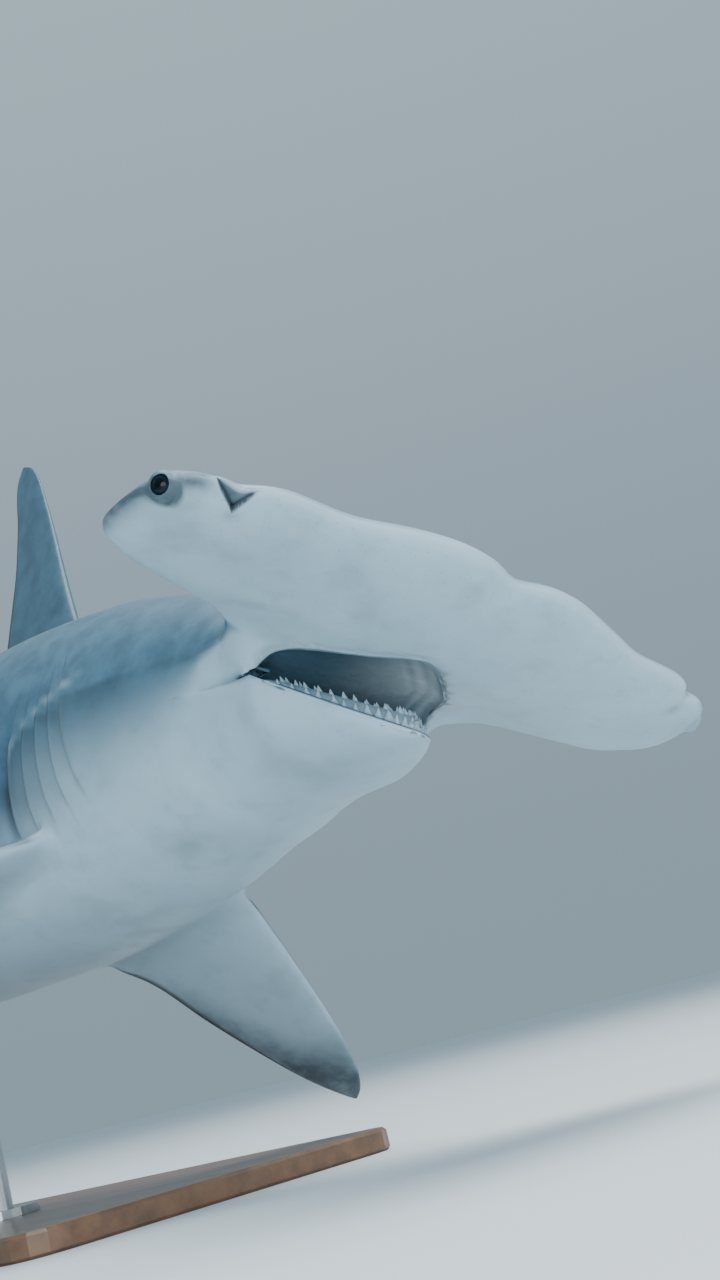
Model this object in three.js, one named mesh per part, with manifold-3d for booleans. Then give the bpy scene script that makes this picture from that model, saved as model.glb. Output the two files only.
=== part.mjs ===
// Hammerhead shark as a still, life-size display model, banked to its left on two rods over a flat base.
// Millimetres. Head to +X, its left side to +Y, up +Z. The origin is the centre of the base's underside.
// Shapes are worked out along the shark: station s is the distance back from the middle of the front edge,
// y is to its left and z is up from its axis, and place() turns them into the display's frame.
import * as THREE from "three";
import { mergeVertices } from "three/addons/utils/BufferGeometryUtils.js";
import Module from "manifold-3d";

const wasm = await Module();
wasm.setup();

// Overall sizes
const LENGTH = 3200;
const SNOUT_X = 1350;
const AXIS_HEIGHT = 545;
const BANK = THREE.MathUtils.degToRad(20);
const SWAY_START = 1300;
const SWAY_AT_TAIL = 190;
const GAP = 0.3;

// Body stations
const NECK = 430;
const CUTS = { front: 745, rear: 1300, stalk: 2125, caudal: 2345 };
const TRUNK_END = 2640;

// Mouth
const JAW_TIP = 166;
const JAW_CORNER = 300;
const JAW_HALF_WIDTH = 126;
const JAW_REAR = 400;
const LIP_RADIUS = 4;
const TOOTH = { width: 10.5, thickness: 4.6, height: 17, root: 8 };

// Gills: five slits a side, each behind the free edge of a flap
const GILLS = { first: 599, spacing: 26, count: 5, flare: 3, slit: 9, edge: 1.6 };

// Eyes and nostrils
const EYE_RADIUS = 13;
const EYES = { left: [105, 373, -10], right: [99, -381, -3] };
const LID = { opening: 10.8, edge: 2, thickness: 2.6 };
const NOSTRIL = { apex: [80, 317], outer: [50, 367], inner: [20, 302], roof: { left: -9, right: 5 } };

// Stand
const BASE = { length: 1300, width: 600, height: 30, corner: 60, bevel: 4 };
const ROD_RADIUS = 19;
const ROD_STATIONS = { front: 1240, rear: 1820 };
const FLANGE_RADIUS = 55;
const FLANGE_HEIGHT = 12;

const clamp = (x, a, b) => Math.min(b, Math.max(a, x));
const smooth = (a, b, x) => {
  const t = clamp((x - a) / (b - a), 0, 1);
  return t * t * (3 - 2 * t);
};
const bump = (x, middle, width) => Math.exp(-(((x - middle) / width) ** 2));

// A smooth curve through named stations that never swings past them
function curve(...stations) {
  const n = stations.length;
  const xs = stations.map((p) => p[0]);
  const ys = stations.map((p) => p[1]);
  const h = xs.slice(1).map((x, i) => x - xs[i]);
  const d = h.map((w, i) => (ys[i + 1] - ys[i]) / w);
  const end = (h0, h1, d0, d1) => {
    const m = ((2 * h0 + h1) * d0 - h0 * d1) / (h0 + h1);
    if (m * d0 <= 0) return 0;
    return d0 * d1 <= 0 && Math.abs(m) > 3 * Math.abs(d0) ? 3 * d0 : m;
  };
  const slopes = xs.map((_, i) => {
    if (n === 2) return d[0];
    if (i === 0) return end(h[0], h[1], d[0], d[1]);
    if (i === n - 1) return end(h[n - 2], h[n - 3], d[n - 2], d[n - 3]);
    if (d[i - 1] * d[i] <= 0) return 0;
    const a = 2 * h[i] + h[i - 1];
    const b = h[i] + 2 * h[i - 1];
    return (a + b) / (a / d[i - 1] + b / d[i]);
  });
  return (x) => {
    const v = clamp(x, xs[0], xs[n - 1]);
    let i = 0;
    while (i < n - 2 && v > xs[i + 1]) i++;
    const t = (v - xs[i]) / h[i];
    const t2 = t * t;
    const t3 = t2 * t;
    return (
      (2 * t3 - 3 * t2 + 1) * ys[i] +
      (t3 - 2 * t2 + t) * h[i] * slopes[i] +
      (3 * t2 - 2 * t3) * ys[i + 1] +
      (t3 - t2) * h[i] * slopes[i + 1]
    );
  };
}

// Trunk profile by station: back, belly, half width, rise of the axis into the tail
const back = curve(
  [300, 92],
  [430, 138],
  [620, 200],
  [860, 230],
  [1150, 240],
  [1520, 200],
  [1920, 132],
  [2200, 80],
  [2330, 62],
  [2460, 40],
  [2640, 12],
);
const belly = curve(
  [300, -118],
  [430, -154],
  [510, -167],
  [620, -196],
  [860, -224],
  [1150, -224],
  [1520, -190],
  [1920, -124],
  [2200, -74],
  [2330, -60],
  [2460, -38],
  [2640, -10],
);
const halfWidth = curve(
  [300, 126],
  [430, 150],
  [620, 178],
  [860, 196],
  [1150, 194],
  [1520, 158],
  [1920, 104],
  [2200, 62],
  [2330, 46],
  [2460, 24],
  [2640, 6],
);
const tailRise = (s) => 75 * (Math.max(0, s - 2200) / 260) ** 1.7;
const sway = (s) => SWAY_AT_TAIL * (Math.max(0, s - SWAY_START) / (LENGTH - SWAY_START)) ** 2;

// Hammer outline from the front edge (0) to the neck (1): half span, station of its side, thickness
const halfSpan = curve(
  [0, 352],
  [0.03, 378],
  [0.08, 393],
  [0.16, 395],
  [0.24, 390],
  [0.32, 372],
  [0.42, 332],
  [0.52, 266],
  [0.6, 210],
  [0.7, 168],
  [0.82, 144],
  [1, 150],
);
const sideStation = curve(
  [0, 60],
  [0.03, 76],
  [0.08, 102],
  [0.16, 146],
  [0.24, 188],
  [0.32, 222],
  [0.42, 245],
  [0.52, 260],
  [0.6, 272],
  [0.7, 298],
  [0.82, 344],
  [1, 430],
);
const wingThickness = curve(
  [0, 0],
  [0.006, 5.5],
  [0.02, 10],
  [0.06, 17],
  [0.14, 23],
  [0.26, 26],
  [0.38, 26],
  [0.5, 20],
  [0.6, 14],
  [0.75, 9],
  [1, 0],
);
const crown = curve([0, 0], [0.05, 3], [0.15, 10], [0.3, 24], [0.5, 48], [0.7, 70], [1, 138]);
const palateDepth = curve(
  [0, 0],
  [0.05, 3],
  [0.12, 7],
  [0.22, 12],
  [0.32, 15],
  [0.42, 18],
  [0.55, 28],
  [0.7, 50],
  [1, 158],
);
const bumpWidth = curve([0, 230], [0.3, 190], [0.5, 165], [0.7, 150], [0.85, 140], [1, 150]);
const skullUnderside = curve([300, 60], [380, 90], [430, 154]);

// Notches and lobes of the front edge: middle notch, side dents, nostril corners
function frontEdge(y) {
  const a = Math.abs(y);
  return (
    16 * bump(a, 0, 30) +
    8 * bump(a, 205, 40) +
    8 * bump(a, 322, 14) -
    5 * bump(a, 285, 30) -
    5 * bump(a, 85, 38) -
    4 * bump(y, -130, 45)
  );
}

// A point of the head: t from front edge to neck, c from right (-1) to left (1), face up (1) or down (-1).
// The left wing lies a little back and lower than the right, as the head is turned in this pose.
function headPoint(t, c, face) {
  const a = Math.abs(c);
  const span = halfSpan(t);
  const middle = NECK * t;
  const y = span * c * (1 - 0.022 * smooth(0.7, 1, c) * (1 - smooth(0.25, 0.45, t)));
  const rear = smooth(0.18, 0.38, t) * (1 - smooth(0.62, 0.85, t));
  const lag = c > 0 ? (5 + 11 * rear) * smooth(0, 0.5, c) : -9 * rear * smooth(0.2, 0.9, -c);
  const swept = (sideStation(t) - middle) * a ** 1.8 + lag * (1 - smooth(0.85, 1, t));
  const s = middle + swept + frontEdge(y) * (1 - smooth(0, 0.25, t));
  const [eyeAt, eyeOut] = c > 0 ? EYES.left : EYES.right;
  const bluntness = 3.2 + 4.6 * bump(s, eyeAt, 36);
  const rounded = Math.max(0, 1 - a ** bluntness) ** (1 / 2.1);
  const oval = Math.max(0, 1 - a ** 2.15) ** (1 / 2.15);
  const hump = Math.max(0, 1 - (y / Math.min(bumpWidth(t), span)) ** 2) ** 1.6;
  const eyeSwell = 8 * bump(s, eyeAt, 40) * bump(y, eyeOut, 40);
  const web = face < 0 ? 20 * smooth(0.3, 0.7, c) * bump(t, 0.7, 0.1) : 0;
  const cheek = face < 0 ? 17 * bump(s, 306, 20) * bump(Math.abs(y), 124, 15) : 0;
  const wing = (wingThickness(t) + eyeSwell + web) * rounded;
  const droop =
    7 * smooth(0, 0.5, c) * (1 - smooth(0.3, 0.44, t)) + 11 * smooth(0.7, 1, c) * bump(t, 0.19, 0.09);
  const k = smooth(0.55, 1, t);
  const far = Math.max(middle, 300);
  const z =
    face > 0
      ? (1 - k) * (wing + crown(t) * hump) + k * back(far) * oval
      : -(1 - k) * (wing + palateDepth(t) * hump) - k * skullUnderside(far) * oval;
  return [s, y, z - droop - cheek];
}

// Slit lines lean, the first most, and their upper ends fall away backwards
const lean = (s) => 0.2 - 0.27 * clamp((s - GILLS.first) / 104, -0.3, 1.3);
const gillWarp = (s, z) => lean(s) * (z + 35) * smooth(540, 590, s) * (1 - smooth(715, 742, s));
const gillTop = (s) => 55 - 0.62 * (s - GILLS.first);
const gillFoot = (s) => -84 - 0.34 * (s - GILLS.first);
const gillEdges = Array.from({ length: GILLS.count }, (_, i) => GILLS.first + GILLS.spacing * i);

// How far the skin stands out (flap) or sinks (slit) at a station of the gill region
function gillRelief(s) {
  const { flare, slit, edge, spacing } = GILLS;
  const last = gillEdges[GILLS.count - 1];
  if (s <= gillEdges[0]) return flare * smooth(gillEdges[0] - 48, gillEdges[0], s);
  if (s >= last + edge) return -slit * (1 - smooth(last + edge, last + 38, s));
  const since = (s - gillEdges[0]) % spacing;
  if (since < edge) return flare - ((flare + slit) * since) / edge;
  return -slit + (flare + slit) * ((since - edge) / (spacing - edge)) ** 0.7;
}
const gillWindow = (s, z) =>
  smooth(gillFoot(s) - 26, gillFoot(s) + 6, z) * (1 - smooth(gillTop(s) - 12, gillTop(s) + 14, z));

// A point of the trunk: station, c from right (-1) to left (1), face up or down
function trunkPoint(s, c, face) {
  const oval = Math.max(0, 1 - Math.abs(c) ** 2.15) ** (1 / 2.15);
  const depth = face > 0 ? back : belly;
  const level = depth(s) * oval;
  const at = s + gillWarp(s, level) * Math.min(1, 2 * Math.abs(c));
  const stand = Math.sign(c) * gillRelief(s) * gillWindow(s, level);
  return [at, halfWidth(at) * c + stand, depth(at) * oval + tailRise(s)];
}

// From the shark's stations to the display's frame
function place([s, y, z]) {
  const across = y + sway(s);
  return [
    SNOUT_X - s,
    across * Math.cos(BANK) + z * Math.sin(BANK),
    AXIS_HEIGHT + z * Math.cos(BANK) - across * Math.sin(BANK),
  ];
}

// Two sheets of points, up and down, closed round their rim; cells split alike on both
function sheetGeometry(rows, columns, at) {
  const points = [];
  const index = [];
  const id = (i, j, f) => (i * (columns + 1) + j) * 2 + f;
  for (let i = 0; i <= rows; i++) {
    for (let j = 0; j <= columns; j++) {
      points.push(...at(i / rows, j / columns, 1), ...at(i / rows, j / columns, -1));
    }
  }
  const apart = (a, b) =>
    Math.hypot(...[0, 1, 2].map((k) => points[3 * a + k] - points[3 * b + k]));
  const wall = (a, b, c, d) => index.push(a, b, c, a, c, d);
  for (let i = 0; i < rows; i++) {
    for (let j = 0; j < columns; j++) {
      const falling = [0, 1].map((f) => apart(id(i, j, f), id(i + 1, j + 1, f)));
      const rising = [0, 1].map((f) => apart(id(i + 1, j, f), id(i, j + 1, f)));
      const first = falling[0] + falling[1] <= rising[0] + rising[1];
      for (const f of [0, 1]) {
        const [a, b, c, d] = [id(i, j, f), id(i + 1, j, f), id(i + 1, j + 1, f), id(i, j + 1, f)];
        const cell = first ? [a, b, c, a, c, d] : [a, b, d, b, c, d];
        index.push(...(f ? cell.reverse() : cell));
      }
    }
  }
  for (let j = 0; j < columns; j++) {
    wall(id(0, j, 1), id(0, j, 0), id(0, j + 1, 0), id(0, j + 1, 1));
    wall(id(rows, j, 0), id(rows, j, 1), id(rows, j + 1, 1), id(rows, j + 1, 0));
  }
  for (let i = 0; i < rows; i++) {
    wall(id(i, 0, 0), id(i, 0, 1), id(i + 1, 0, 1), id(i + 1, 0, 0));
    wall(id(i, columns, 1), id(i, columns, 0), id(i + 1, columns, 0), id(i + 1, columns, 1));
  }
  const g = new THREE.BufferGeometry();
  g.setAttribute("position", new THREE.Float32BufferAttribute(points, 3));
  g.setIndex(index);
  return g;
}

// One closed surface with shared vertices and no collapsed faces
function welded(geometry) {
  const bare = geometry.clone();
  bare.deleteAttribute("normal");
  bare.deleteAttribute("uv");
  const g = mergeVertices(bare, 1e-3);
  const v = g.index.array;
  const kept = [];
  for (let i = 0; i < v.length; i += 3) {
    const [a, b, c] = [v[i], v[i + 1], v[i + 2]];
    if (a !== b && b !== c && a !== c) kept.push(a, b, c);
  }
  g.setIndex(kept);
  return g;
}

function toSolid(geometry) {
  const g = welded(geometry);
  const build = (order) =>
    new wasm.Manifold(
      new wasm.Mesh({
        numProp: 3,
        vertProperties: g.attributes.position.array,
        triVerts: new Uint32Array(order),
      }),
    );
  const order = Array.from(g.index.array);
  const made = build(order);
  return made.volume() < 0 ? build(order.reverse()) : made;
}

// The same surface moved out by a set distance, to cut its neighbours clear
function swollen(geometry, distance) {
  const g = welded(geometry);
  g.computeVertexNormals();
  const p = g.attributes.position;
  const n = g.attributes.normal;
  const side = toSolid(geometry).volume() > 0 && signedVolume(g) < 0 ? -distance : distance;
  for (let i = 0; i < p.count; i++) {
    p.setXYZ(
      i,
      p.getX(i) + n.getX(i) * side,
      p.getY(i) + n.getY(i) * side,
      p.getZ(i) + n.getZ(i) * side,
    );
  }
  return toSolid(g);
}

function signedVolume(g) {
  const p = g.attributes.position;
  const corner = (k) => new THREE.Vector3().fromBufferAttribute(p, g.index.getX(k));
  let sum = 0;
  for (let k = 0; k < g.index.count; k += 3) {
    sum += corner(k).dot(corner(k + 1).cross(corner(k + 2)));
  }
  return sum / 6;
}

// Parts of a solid before or behind a station, or out or in from a side distance
const behind = (solid, s) => solid.trimByPlane([-1, 0, 0], s - SNOUT_X);
const before = (solid, s) => solid.trimByPlane([1, 0, 0], SNOUT_X - s);
const between = (solid, s0, s1) => before(behind(solid, s0 + GAP / 2), s1 - GAP / 2);
const LEFTWARD = [0, Math.cos(BANK), -Math.sin(BANK)];
const UPWARD = [0, Math.sin(BANK), Math.cos(BANK)];
const leftOf = (solid, y) =>
  solid.trimByPlane(LEFTWARD, y - AXIS_HEIGHT * Math.sin(BANK));
const rightOf = (solid, y) =>
  solid.trimByPlane(LEFTWARD.map((v) => -v), AXIS_HEIGHT * Math.sin(BANK) - y);
const largest = (solid) =>
  solid.decompose().reduce((a, b) => (b.volume() > a.volume() ? b : a));

// Head and trunk, each closed by a flat face at the neck
const even = (v) => {
  const q = 2 * v - 1;
  return 0.45 * q + 0.55 * Math.sin((Math.PI * q) / 2);
};
const round = (v) => Math.sin((Math.PI * (2 * v - 1)) / 2);
const headGeometry = sheetGeometry(18, 34, (u, v, f) => place(headPoint(u ** 1.6, even(v), f)));
const trunkStations = [
  NECK,
  470,
  512,
  550,
  578,
  ...gillEdges.flatMap((g) => [g, g + GILLS.edge]),
  722,
  CUTS.front,
  ...Array.from({ length: 20 }, (_, i) => CUTS.front + ((TRUNK_END - CUTS.front) * (i + 1)) / 20),
];
const trunkGeometry = sheetGeometry(trunkStations.length - 1, 20, (u, v, f) =>
  place(trunkPoint(trunkStations[Math.round(u * (trunkStations.length - 1))], round(v), f)),
);
const skull = toSolid(headGeometry);
const trunk = toSolid(trunkGeometry);
const skullClear = swollen(headGeometry, GAP + 0.05);
const trunkClear = swollen(trunkGeometry, GAP + 0.05);

// Lower jaw: a boat-shaped hull whose rim drops from the mouth corners to the tip
const jawKeel = curve([JAW_TIP, -124], [200, -128], [260, -133], [340, -143], [NECK, -153]);
const jawRim = curve([JAW_TIP, -120], [176, -115], [195, -105], [225, -89], [255, -72], [JAW_CORNER, -46]);
const jawWidth = (s) => JAW_HALF_WIDTH * clamp((s - JAW_TIP) / (JAW_CORNER - JAW_TIP), 0, 1) ** 0.72;
function jawPoint(u, c, face) {
  const s = JAW_TIP + (NECK - JAW_TIP) * u ** 1.5;
  const k = smooth(JAW_CORNER - 20, NECK, s);
  const oval = Math.max(0, 1 - Math.abs(c) ** 2.15) ** (1 / 2.15);
  const width = (1 - k) * jawWidth(s) + k * (halfWidth(s) - 3);
  const rim = jawRim(s);
  const hull = rim + (jawKeel(s) - rim) * Math.sqrt(Math.max(0, 1 - c * c));
  const throat = (belly(s) + 1) * oval;
  return [s, width * c, face > 0 ? (1 - k) * rim - k * 40 : (1 - k) * hull + k * Math.min(throat, -40)];
}
const jawGeometry = sheetGeometry(10, 12, (u, v, f) => place(jawPoint(u, round(v), f)));

// Underside of the skull at a station and side distance
function underside(s, y) {
  let [low, high] = [0, 1];
  for (let i = 0; i < 30; i++) {
    const t = (low + high) / 2;
    if (headPoint(t, clamp(y / halfSpan(t), -1, 1), -1)[0] < s) low = t;
    else high = t;
  }
  return headPoint(low, clamp(y / halfSpan(low), -1, 1), -1)[2];
}

// A round bar along a path, thinned to nothing at both ends
function bar(path, radius, steps) {
  const at = (u) => new THREE.Vector3(...path(clamp(u, 0, 1)));
  return toSolid(
    sheetGeometry(steps, 3, (u, v, f) => {
      const along = at(u + 0.01).sub(at(u - 0.01)).normalize();
      const across = new THREE.Vector3(0, 0, 1).cross(along).normalize();
      const up = along.clone().cross(across);
      const r = radius * (1 - Math.abs(2 * u - 1) ** 6) ** 0.5;
      const p = at(u).addScaledVector(across, -r * Math.cos(Math.PI * v));
      p.addScaledVector(up, f * r * Math.sin(Math.PI * v));
      return place(p.toArray());
    }),
  );
}

// Upper lip line: station by side distance, flat in front and running back to the corners
const lipStation = curve(
  [0, 150], [20, 157], [35, 167], [55, 184], [80, 207], [100, 230], [113, 262], [122, 302],
);
const lipWidth = curve(
  [150, 0], [157, 20], [167, 35], [184, 55], [207, 80], [230, 100], [262, 113], [302, 122],
);
const upperLip = (u) => {
  const q = 2 * u - 1;
  const y = 122 * Math.sign(q) * (1 - (1 - Math.abs(q)) ** 1.5);
  const s = lipStation(Math.abs(y));
  return [s, y, underside(s, y) + 1.5];
};
// Lower rim from corner to corner, set in from the hull's side
const rimPath = (inset) => (u) => {
  const q = 2 * u - 1;
  const s = JAW_TIP + (JAW_CORNER - JAW_TIP - 4) * Math.abs(q) ** 1.7 + inset * (1 - Math.abs(q)) ** 0.5;
  return [s, Math.sign(q) * Math.max(0, jawWidth(s - inset) - inset * Math.abs(q) ** 0.4), jawRim(s) - 1];
};

// Mouth hollows: a bowl in the lower jaw and a shallow dome under the skull
const bowl = toSolid(
  sheetGeometry(6, 6, (u, v, f) => {
    const s = JAW_TIP + 15 + (335 - JAW_TIP - 15) * u;
    const depth = clamp(jawRim(s) - jawKeel(s) - 13, 0, 34) * Math.min(1, 4 * (1 - u)) ** 0.5;
    const arch = Math.sqrt(Math.max(0, 1 - round(v) ** 2));
    const width = Math.max(0, jawWidth(s) - 10 + 4 * smooth(240, 290, s)) * (1 - 0.3 * smooth(0.86, 1, u));
    return place([s, width * round(v), f > 0 ? jawRim(s) + 60 : jawRim(s) + 0.5 - depth * arch]);
  }),
);
const dome = toSolid(
  sheetGeometry(6, 6, (u, v, f) => {
    const s = 158 + 170 * u;
    const width = Math.max(0, lipWidth(s - 4) - 7 + 3 * smooth(240, 290, s)) * (1 - 0.3 * smooth(0.86, 1, u));
    const arch = Math.sqrt(Math.max(0, 1 - round(v) ** 2)) * Math.sin(Math.PI * Math.min(u * 1.6 + 0.2, 0.5));
    const edge = underside(s, width * round(v)) - 1;
    return place([s, width * round(v), f > 0 ? edge + 17 * arch : edge - 60]);
  }),
);

// Teeth: two rows of slender blades on the rim of the lower jaw, heights drawn from a seeded series
let seed = 7;
const draw = () => {
  seed = (seed * 16807) % 2147483647;
  return seed / 2147483647;
};
function tooth(at, along, height) {
  const tip = new THREE.Vector3(-0.25 - 0.1 * draw(), 0, 1).normalize();
  const out = tip.clone().cross(along).normalize();
  const side = out.clone().cross(tip);
  const cone = new THREE.ConeGeometry(1, height + TOOTH.root, 4, 1, false, Math.PI / 4);
  const p = cone.attributes.position;
  for (let i = 0; i < p.count; i++) {
    const v = at.clone().addScaledVector(tip, p.getY(i) + (height - TOOTH.root) / 2);
    v.addScaledVector(side, p.getX(i) * TOOTH.width * 0.7);
    v.addScaledVector(out, p.getZ(i) * TOOTH.thickness * 0.7);
    p.setXYZ(i, ...place(v.toArray()));
  }
  return toSolid(cone);
}
function toothRow(inset, count, scale, shift) {
  const path = rimPath(inset);
  return Array.from({ length: count }, (_, i) => {
    const u = 0.06 + (0.88 * (i + shift)) / count;
    const at = new THREE.Vector3(...path(u));
    const along = new THREE.Vector3(...path(u + 0.01)).sub(new THREE.Vector3(...path(u - 0.01)));
    const rear = Math.abs(2 * u - 1);
    const height = TOOTH.height * scale * (1.05 - 0.5 * rear ** 2) * (0.88 + 0.24 * draw());
    return tooth(at, along.normalize(), height);
  });
}
const jawHull = toSolid(jawGeometry);
const teeth = [...toothRow(5, 22, 1, 0.5), ...toothRow(12, 14, 0.85, 0.5)];

// Eyes, with a ring of lid round each, and the nostril notch in the front edge
const sideSign = { left: 1, right: -1 };
const eyeCentre = (side) => new THREE.Vector3(...place(EYES[side]));
const ball = (centre, radius, w, h) =>
  toSolid(new THREE.SphereGeometry(radius, w, h).translate(centre.x, centre.y, centre.z));
function outwardOf(side) {
  const [s, y, z] = EYES[side];
  const ahead = new THREE.Vector3(...place([s - 3, y + 15 * sideSign[side], z - 3]));
  return ahead.sub(eyeCentre(side)).normalize();
}
function lidRing(side) {
  const outward = outwardOf(side);
  const centre = eyeCentre(side).addScaledVector(outward, 8.6);
  const turn = new THREE.Quaternion().setFromUnitVectors(new THREE.Vector3(0, 0, 1), outward);
  return toSolid(
    new THREE.TorusGeometry(LID.opening + 1.2, LID.edge, 5, 16)
      .applyQuaternion(turn)
      .translate(centre.x, centre.y, centre.z),
  );
}
function eyeOpening(side) {
  const outward = outwardOf(side);
  const middle = eyeCentre(side).addScaledVector(outward, 18);
  const turn = new THREE.Quaternion().setFromUnitVectors(new THREE.Vector3(0, 1, 0), outward);
  return toSolid(
    new THREE.CylinderGeometry(LID.opening + 2, LID.opening - 1, 22, 14)
      .applyQuaternion(turn)
      .translate(middle.x, middle.y, middle.z),
  );
}
const nostrilCut = (side) =>
  toSolid(
    sheetGeometry(3, 2, (u, v, f) => {
      const { apex, outer, inner, roof } = NOSTRIL;
      const [at, out] = [0, 1].map((k) => {
        const start = inner[k] + (outer[k] - inner[k]) * v;
        return start + (apex[k] - start) * u;
      });
      return place([at, sideSign[side] * out, f > 0 ? roof[side] - 12 * u : -60]);
    }),
  );
function hammer(side) {
  const wing = side === "left" ? leftOf(skull, 165 + GAP / 2) : rightOf(skull, -165 - GAP / 2);
  return wing
    .subtract(nostrilCut(side))
    .add(ball(eyeCentre(side), EYE_RADIUS + LID.thickness, 12, 8))
    .subtract(eyeOpening(side))
    .add(lidRing(side))
    .subtract(ball(eyeCentre(side), EYE_RADIUS + GAP, 14, 9));
}

// A fin is two faces over a planform: chord stations of both edges by span, laid out on three directions
function finGeometry({ root, chord, span, lead, trail, thick, from, to, rows = 12, columns = 7 }) {
  const normal = new THREE.Vector3(...chord).cross(new THREE.Vector3(...span)).normalize();
  return sheetGeometry(rows, columns, (u, v, f) => {
    const w = from + (to - from) * (1 - (1 - u) ** 1.5);
    const x = 1 - Math.cos((Math.PI * v) / 2) ** 1.15;
    const c = lead(w) + (trail(w) - lead(w)) * x;
    const foil = 2.6 * (Math.sqrt(x) - x) * (1 - 0.25 * x) + 0.03 * (1 - x);
    const half = f * (thick(w) * foil * 1.45 + (v > 0 ? 0.4 : 0));
    return place(
      [0, 1, 2].map((k) => root[k] + chord[k] * c + span[k] * w + normal.getComponent(k) * half),
    );
  });
}

const mirrored = (shape) => ({
  ...shape,
  root: [shape.root[0], -shape.root[1], shape.root[2]],
  chord: [shape.chord[0], -shape.chord[1], shape.chord[2]],
  span: [shape.span[0], -shape.span[1], shape.span[2]],
});
const taper = (rootHalf, tipHalf, span, flare) => (w) =>
  rootHalf + (tipHalf - rootHalf) * clamp(w / span, 0, 1) ** 0.8 + flare * bump(w, 0, 16);

const pectoral = {
  root: [656, 138, -135],
  chord: [0.976, -0.1, -0.193],
  span: [0.013, 0.914, -0.406],
  lead: curve(
    [-60, -14],
    [0, 0],
    [75, 22],
    [152, 45],
    [276, 87],
    [323, 107],
    [364, 131],
    [386, 151],
    [396, 167],
  ),
  trail: curve(
    [-60, 225],
    [-20, 250],
    [2, 290],
    [14, 290],
    [40, 258],
    [84, 243],
    [156, 236],
    [239, 222],
    [321, 203],
    [382, 178],
    [396, 169],
  ),
  thick: taper(15, 2.2, 395, 7),
  from: -60,
  to: 396,
  rows: 15,
};
const dorsalFirst = {
  root: [0, 0, 0],
  chord: [1, 0, 0],
  span: [0, 0, 1],
  lead: curve(
    [190, 836], [240, 862], [277, 886], [372, 937], [471, 986], [540, 1022], [607, 1062],
    [630, 1084], [641, 1108],
  ),
  trail: curve(
    [190, 1080], [250, 1082], [262, 1168], [276, 1120], [300, 1092], [416, 1092], [522, 1104],
    [612, 1122], [641, 1112],
  ),
  thick: (w) => taper(14, 2, 400, 8)(w - 240),
  from: 190,
  to: 641,
  rows: 16,
};
const dorsalSecond = {
  root: [0, 0, 0],
  chord: [1, 0, 0],
  span: [0, 0, 1],
  lead: curve([80, 1900], [128, 1932], [160, 1958], [190, 1988], [206, 2018]),
  trail: curve([80, 2052], [119, 2056], [124, 2160], [133, 2098], [150, 2058], [180, 2034], [206, 2026]),
  thick: (w) => taper(8, 1.5, 90, 5)(w - 125),
  from: 80,
  to: 206,
  rows: 9,
};
const anal = {
  root: [0, 0, 0],
  chord: [1, 0, 0],
  span: [0, 0, -1],
  lead: curve([80, 1868], [126, 1892], [160, 1922], [190, 1962], [206, 1998]),
  trail: curve([80, 2058], [114, 2066], [120, 2150], [130, 2092], [150, 2050], [180, 2022], [206, 2008]),
  thick: (w) => taper(8, 1.5, 90, 5)(w - 120),
  from: 80,
  to: 206,
  rows: 9,
};
const pelvic = {
  root: [1520, 62, -172],
  chord: [0.985, -0.06, 0.075],
  span: [0.03, 0.8, -0.6],
  lead: curve([-50, -18], [0, 6], [50, 38], [95, 72], [122, 104]),
  trail: curve([-50, 140], [2, 152], [14, 222], [26, 186], [50, 158], [90, 132], [122, 112]),
  thick: taper(9, 1.5, 122, 5),
  from: -50,
  to: 122,
  rows: 12,
};
const caudalUpper = {
  root: [2290, 0, 0],
  chord: [0.45, 0, -0.893],
  span: [0.893, 0, 0.45],
  lead: curve([-60, -4], [0, -44], [120, -56], [400, -52], [800, -30], [940, -4], [1000, 30]),
  trail: curve(
    [-60, 60], [0, 80], [120, 122], [200, 138], [400, 116], [700, 78], [815, 62], [838, 34],
    [858, 70], [900, 88], [960, 72], [1000, 38],
  ),
  thick: (w) => 24 - 20.5 * smooth(-100, 900, w),
  from: -60,
  to: 1000,
  rows: 18,
};
const caudalLower = {
  root: [2330, 0, -20],
  chord: [0.84, 0, 0.54],
  span: [0.54, 0, -0.84],
  lead: curve([-30, -20], [40, -34], [160, -36], [300, -20], [400, 6], [440, 34]),
  trail: curve([-30, 190], [40, 196], [100, 168], [200, 118], [300, 84], [400, 60], [440, 40]),
  thick: (w) => 18 - 16 * smooth(-60, 420, w),
  from: -30,
  to: 440,
  rows: 16,
};

const finSolid = (shape) => toSolid(finGeometry(shape));
const clearOfBody = (shape) => largest(finSolid(shape).subtract(trunkClear));

// The trunk with its tail lobes in one piece, parted by thin cuts
const whole = trunk.add(finSolid(caudalUpper)).add(finSolid(caudalLower));
const caudal = behind(whole, CUTS.caudal + GAP / 2);
const forkPlane = new THREE.Vector3(0.13, 0, 0.99).normalize();
const forkPoint = new THREE.Vector3(...place([2560, 40, -38]));
const forkNormal = [
  -forkPlane.x,
  forkPlane.z * UPWARD[1],
  forkPlane.z * UPWARD[2],
];
const forkOffset = new THREE.Vector3(...forkNormal).dot(forkPoint);
const caudalUpperSolid = largest(caudal.trimByPlane(forkNormal, forkOffset + GAP / 2));
const caudalLowerSolid = largest(
  caudal.trimByPlane(forkNormal.map((v) => -v), -forkOffset + GAP / 2),
);

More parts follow.
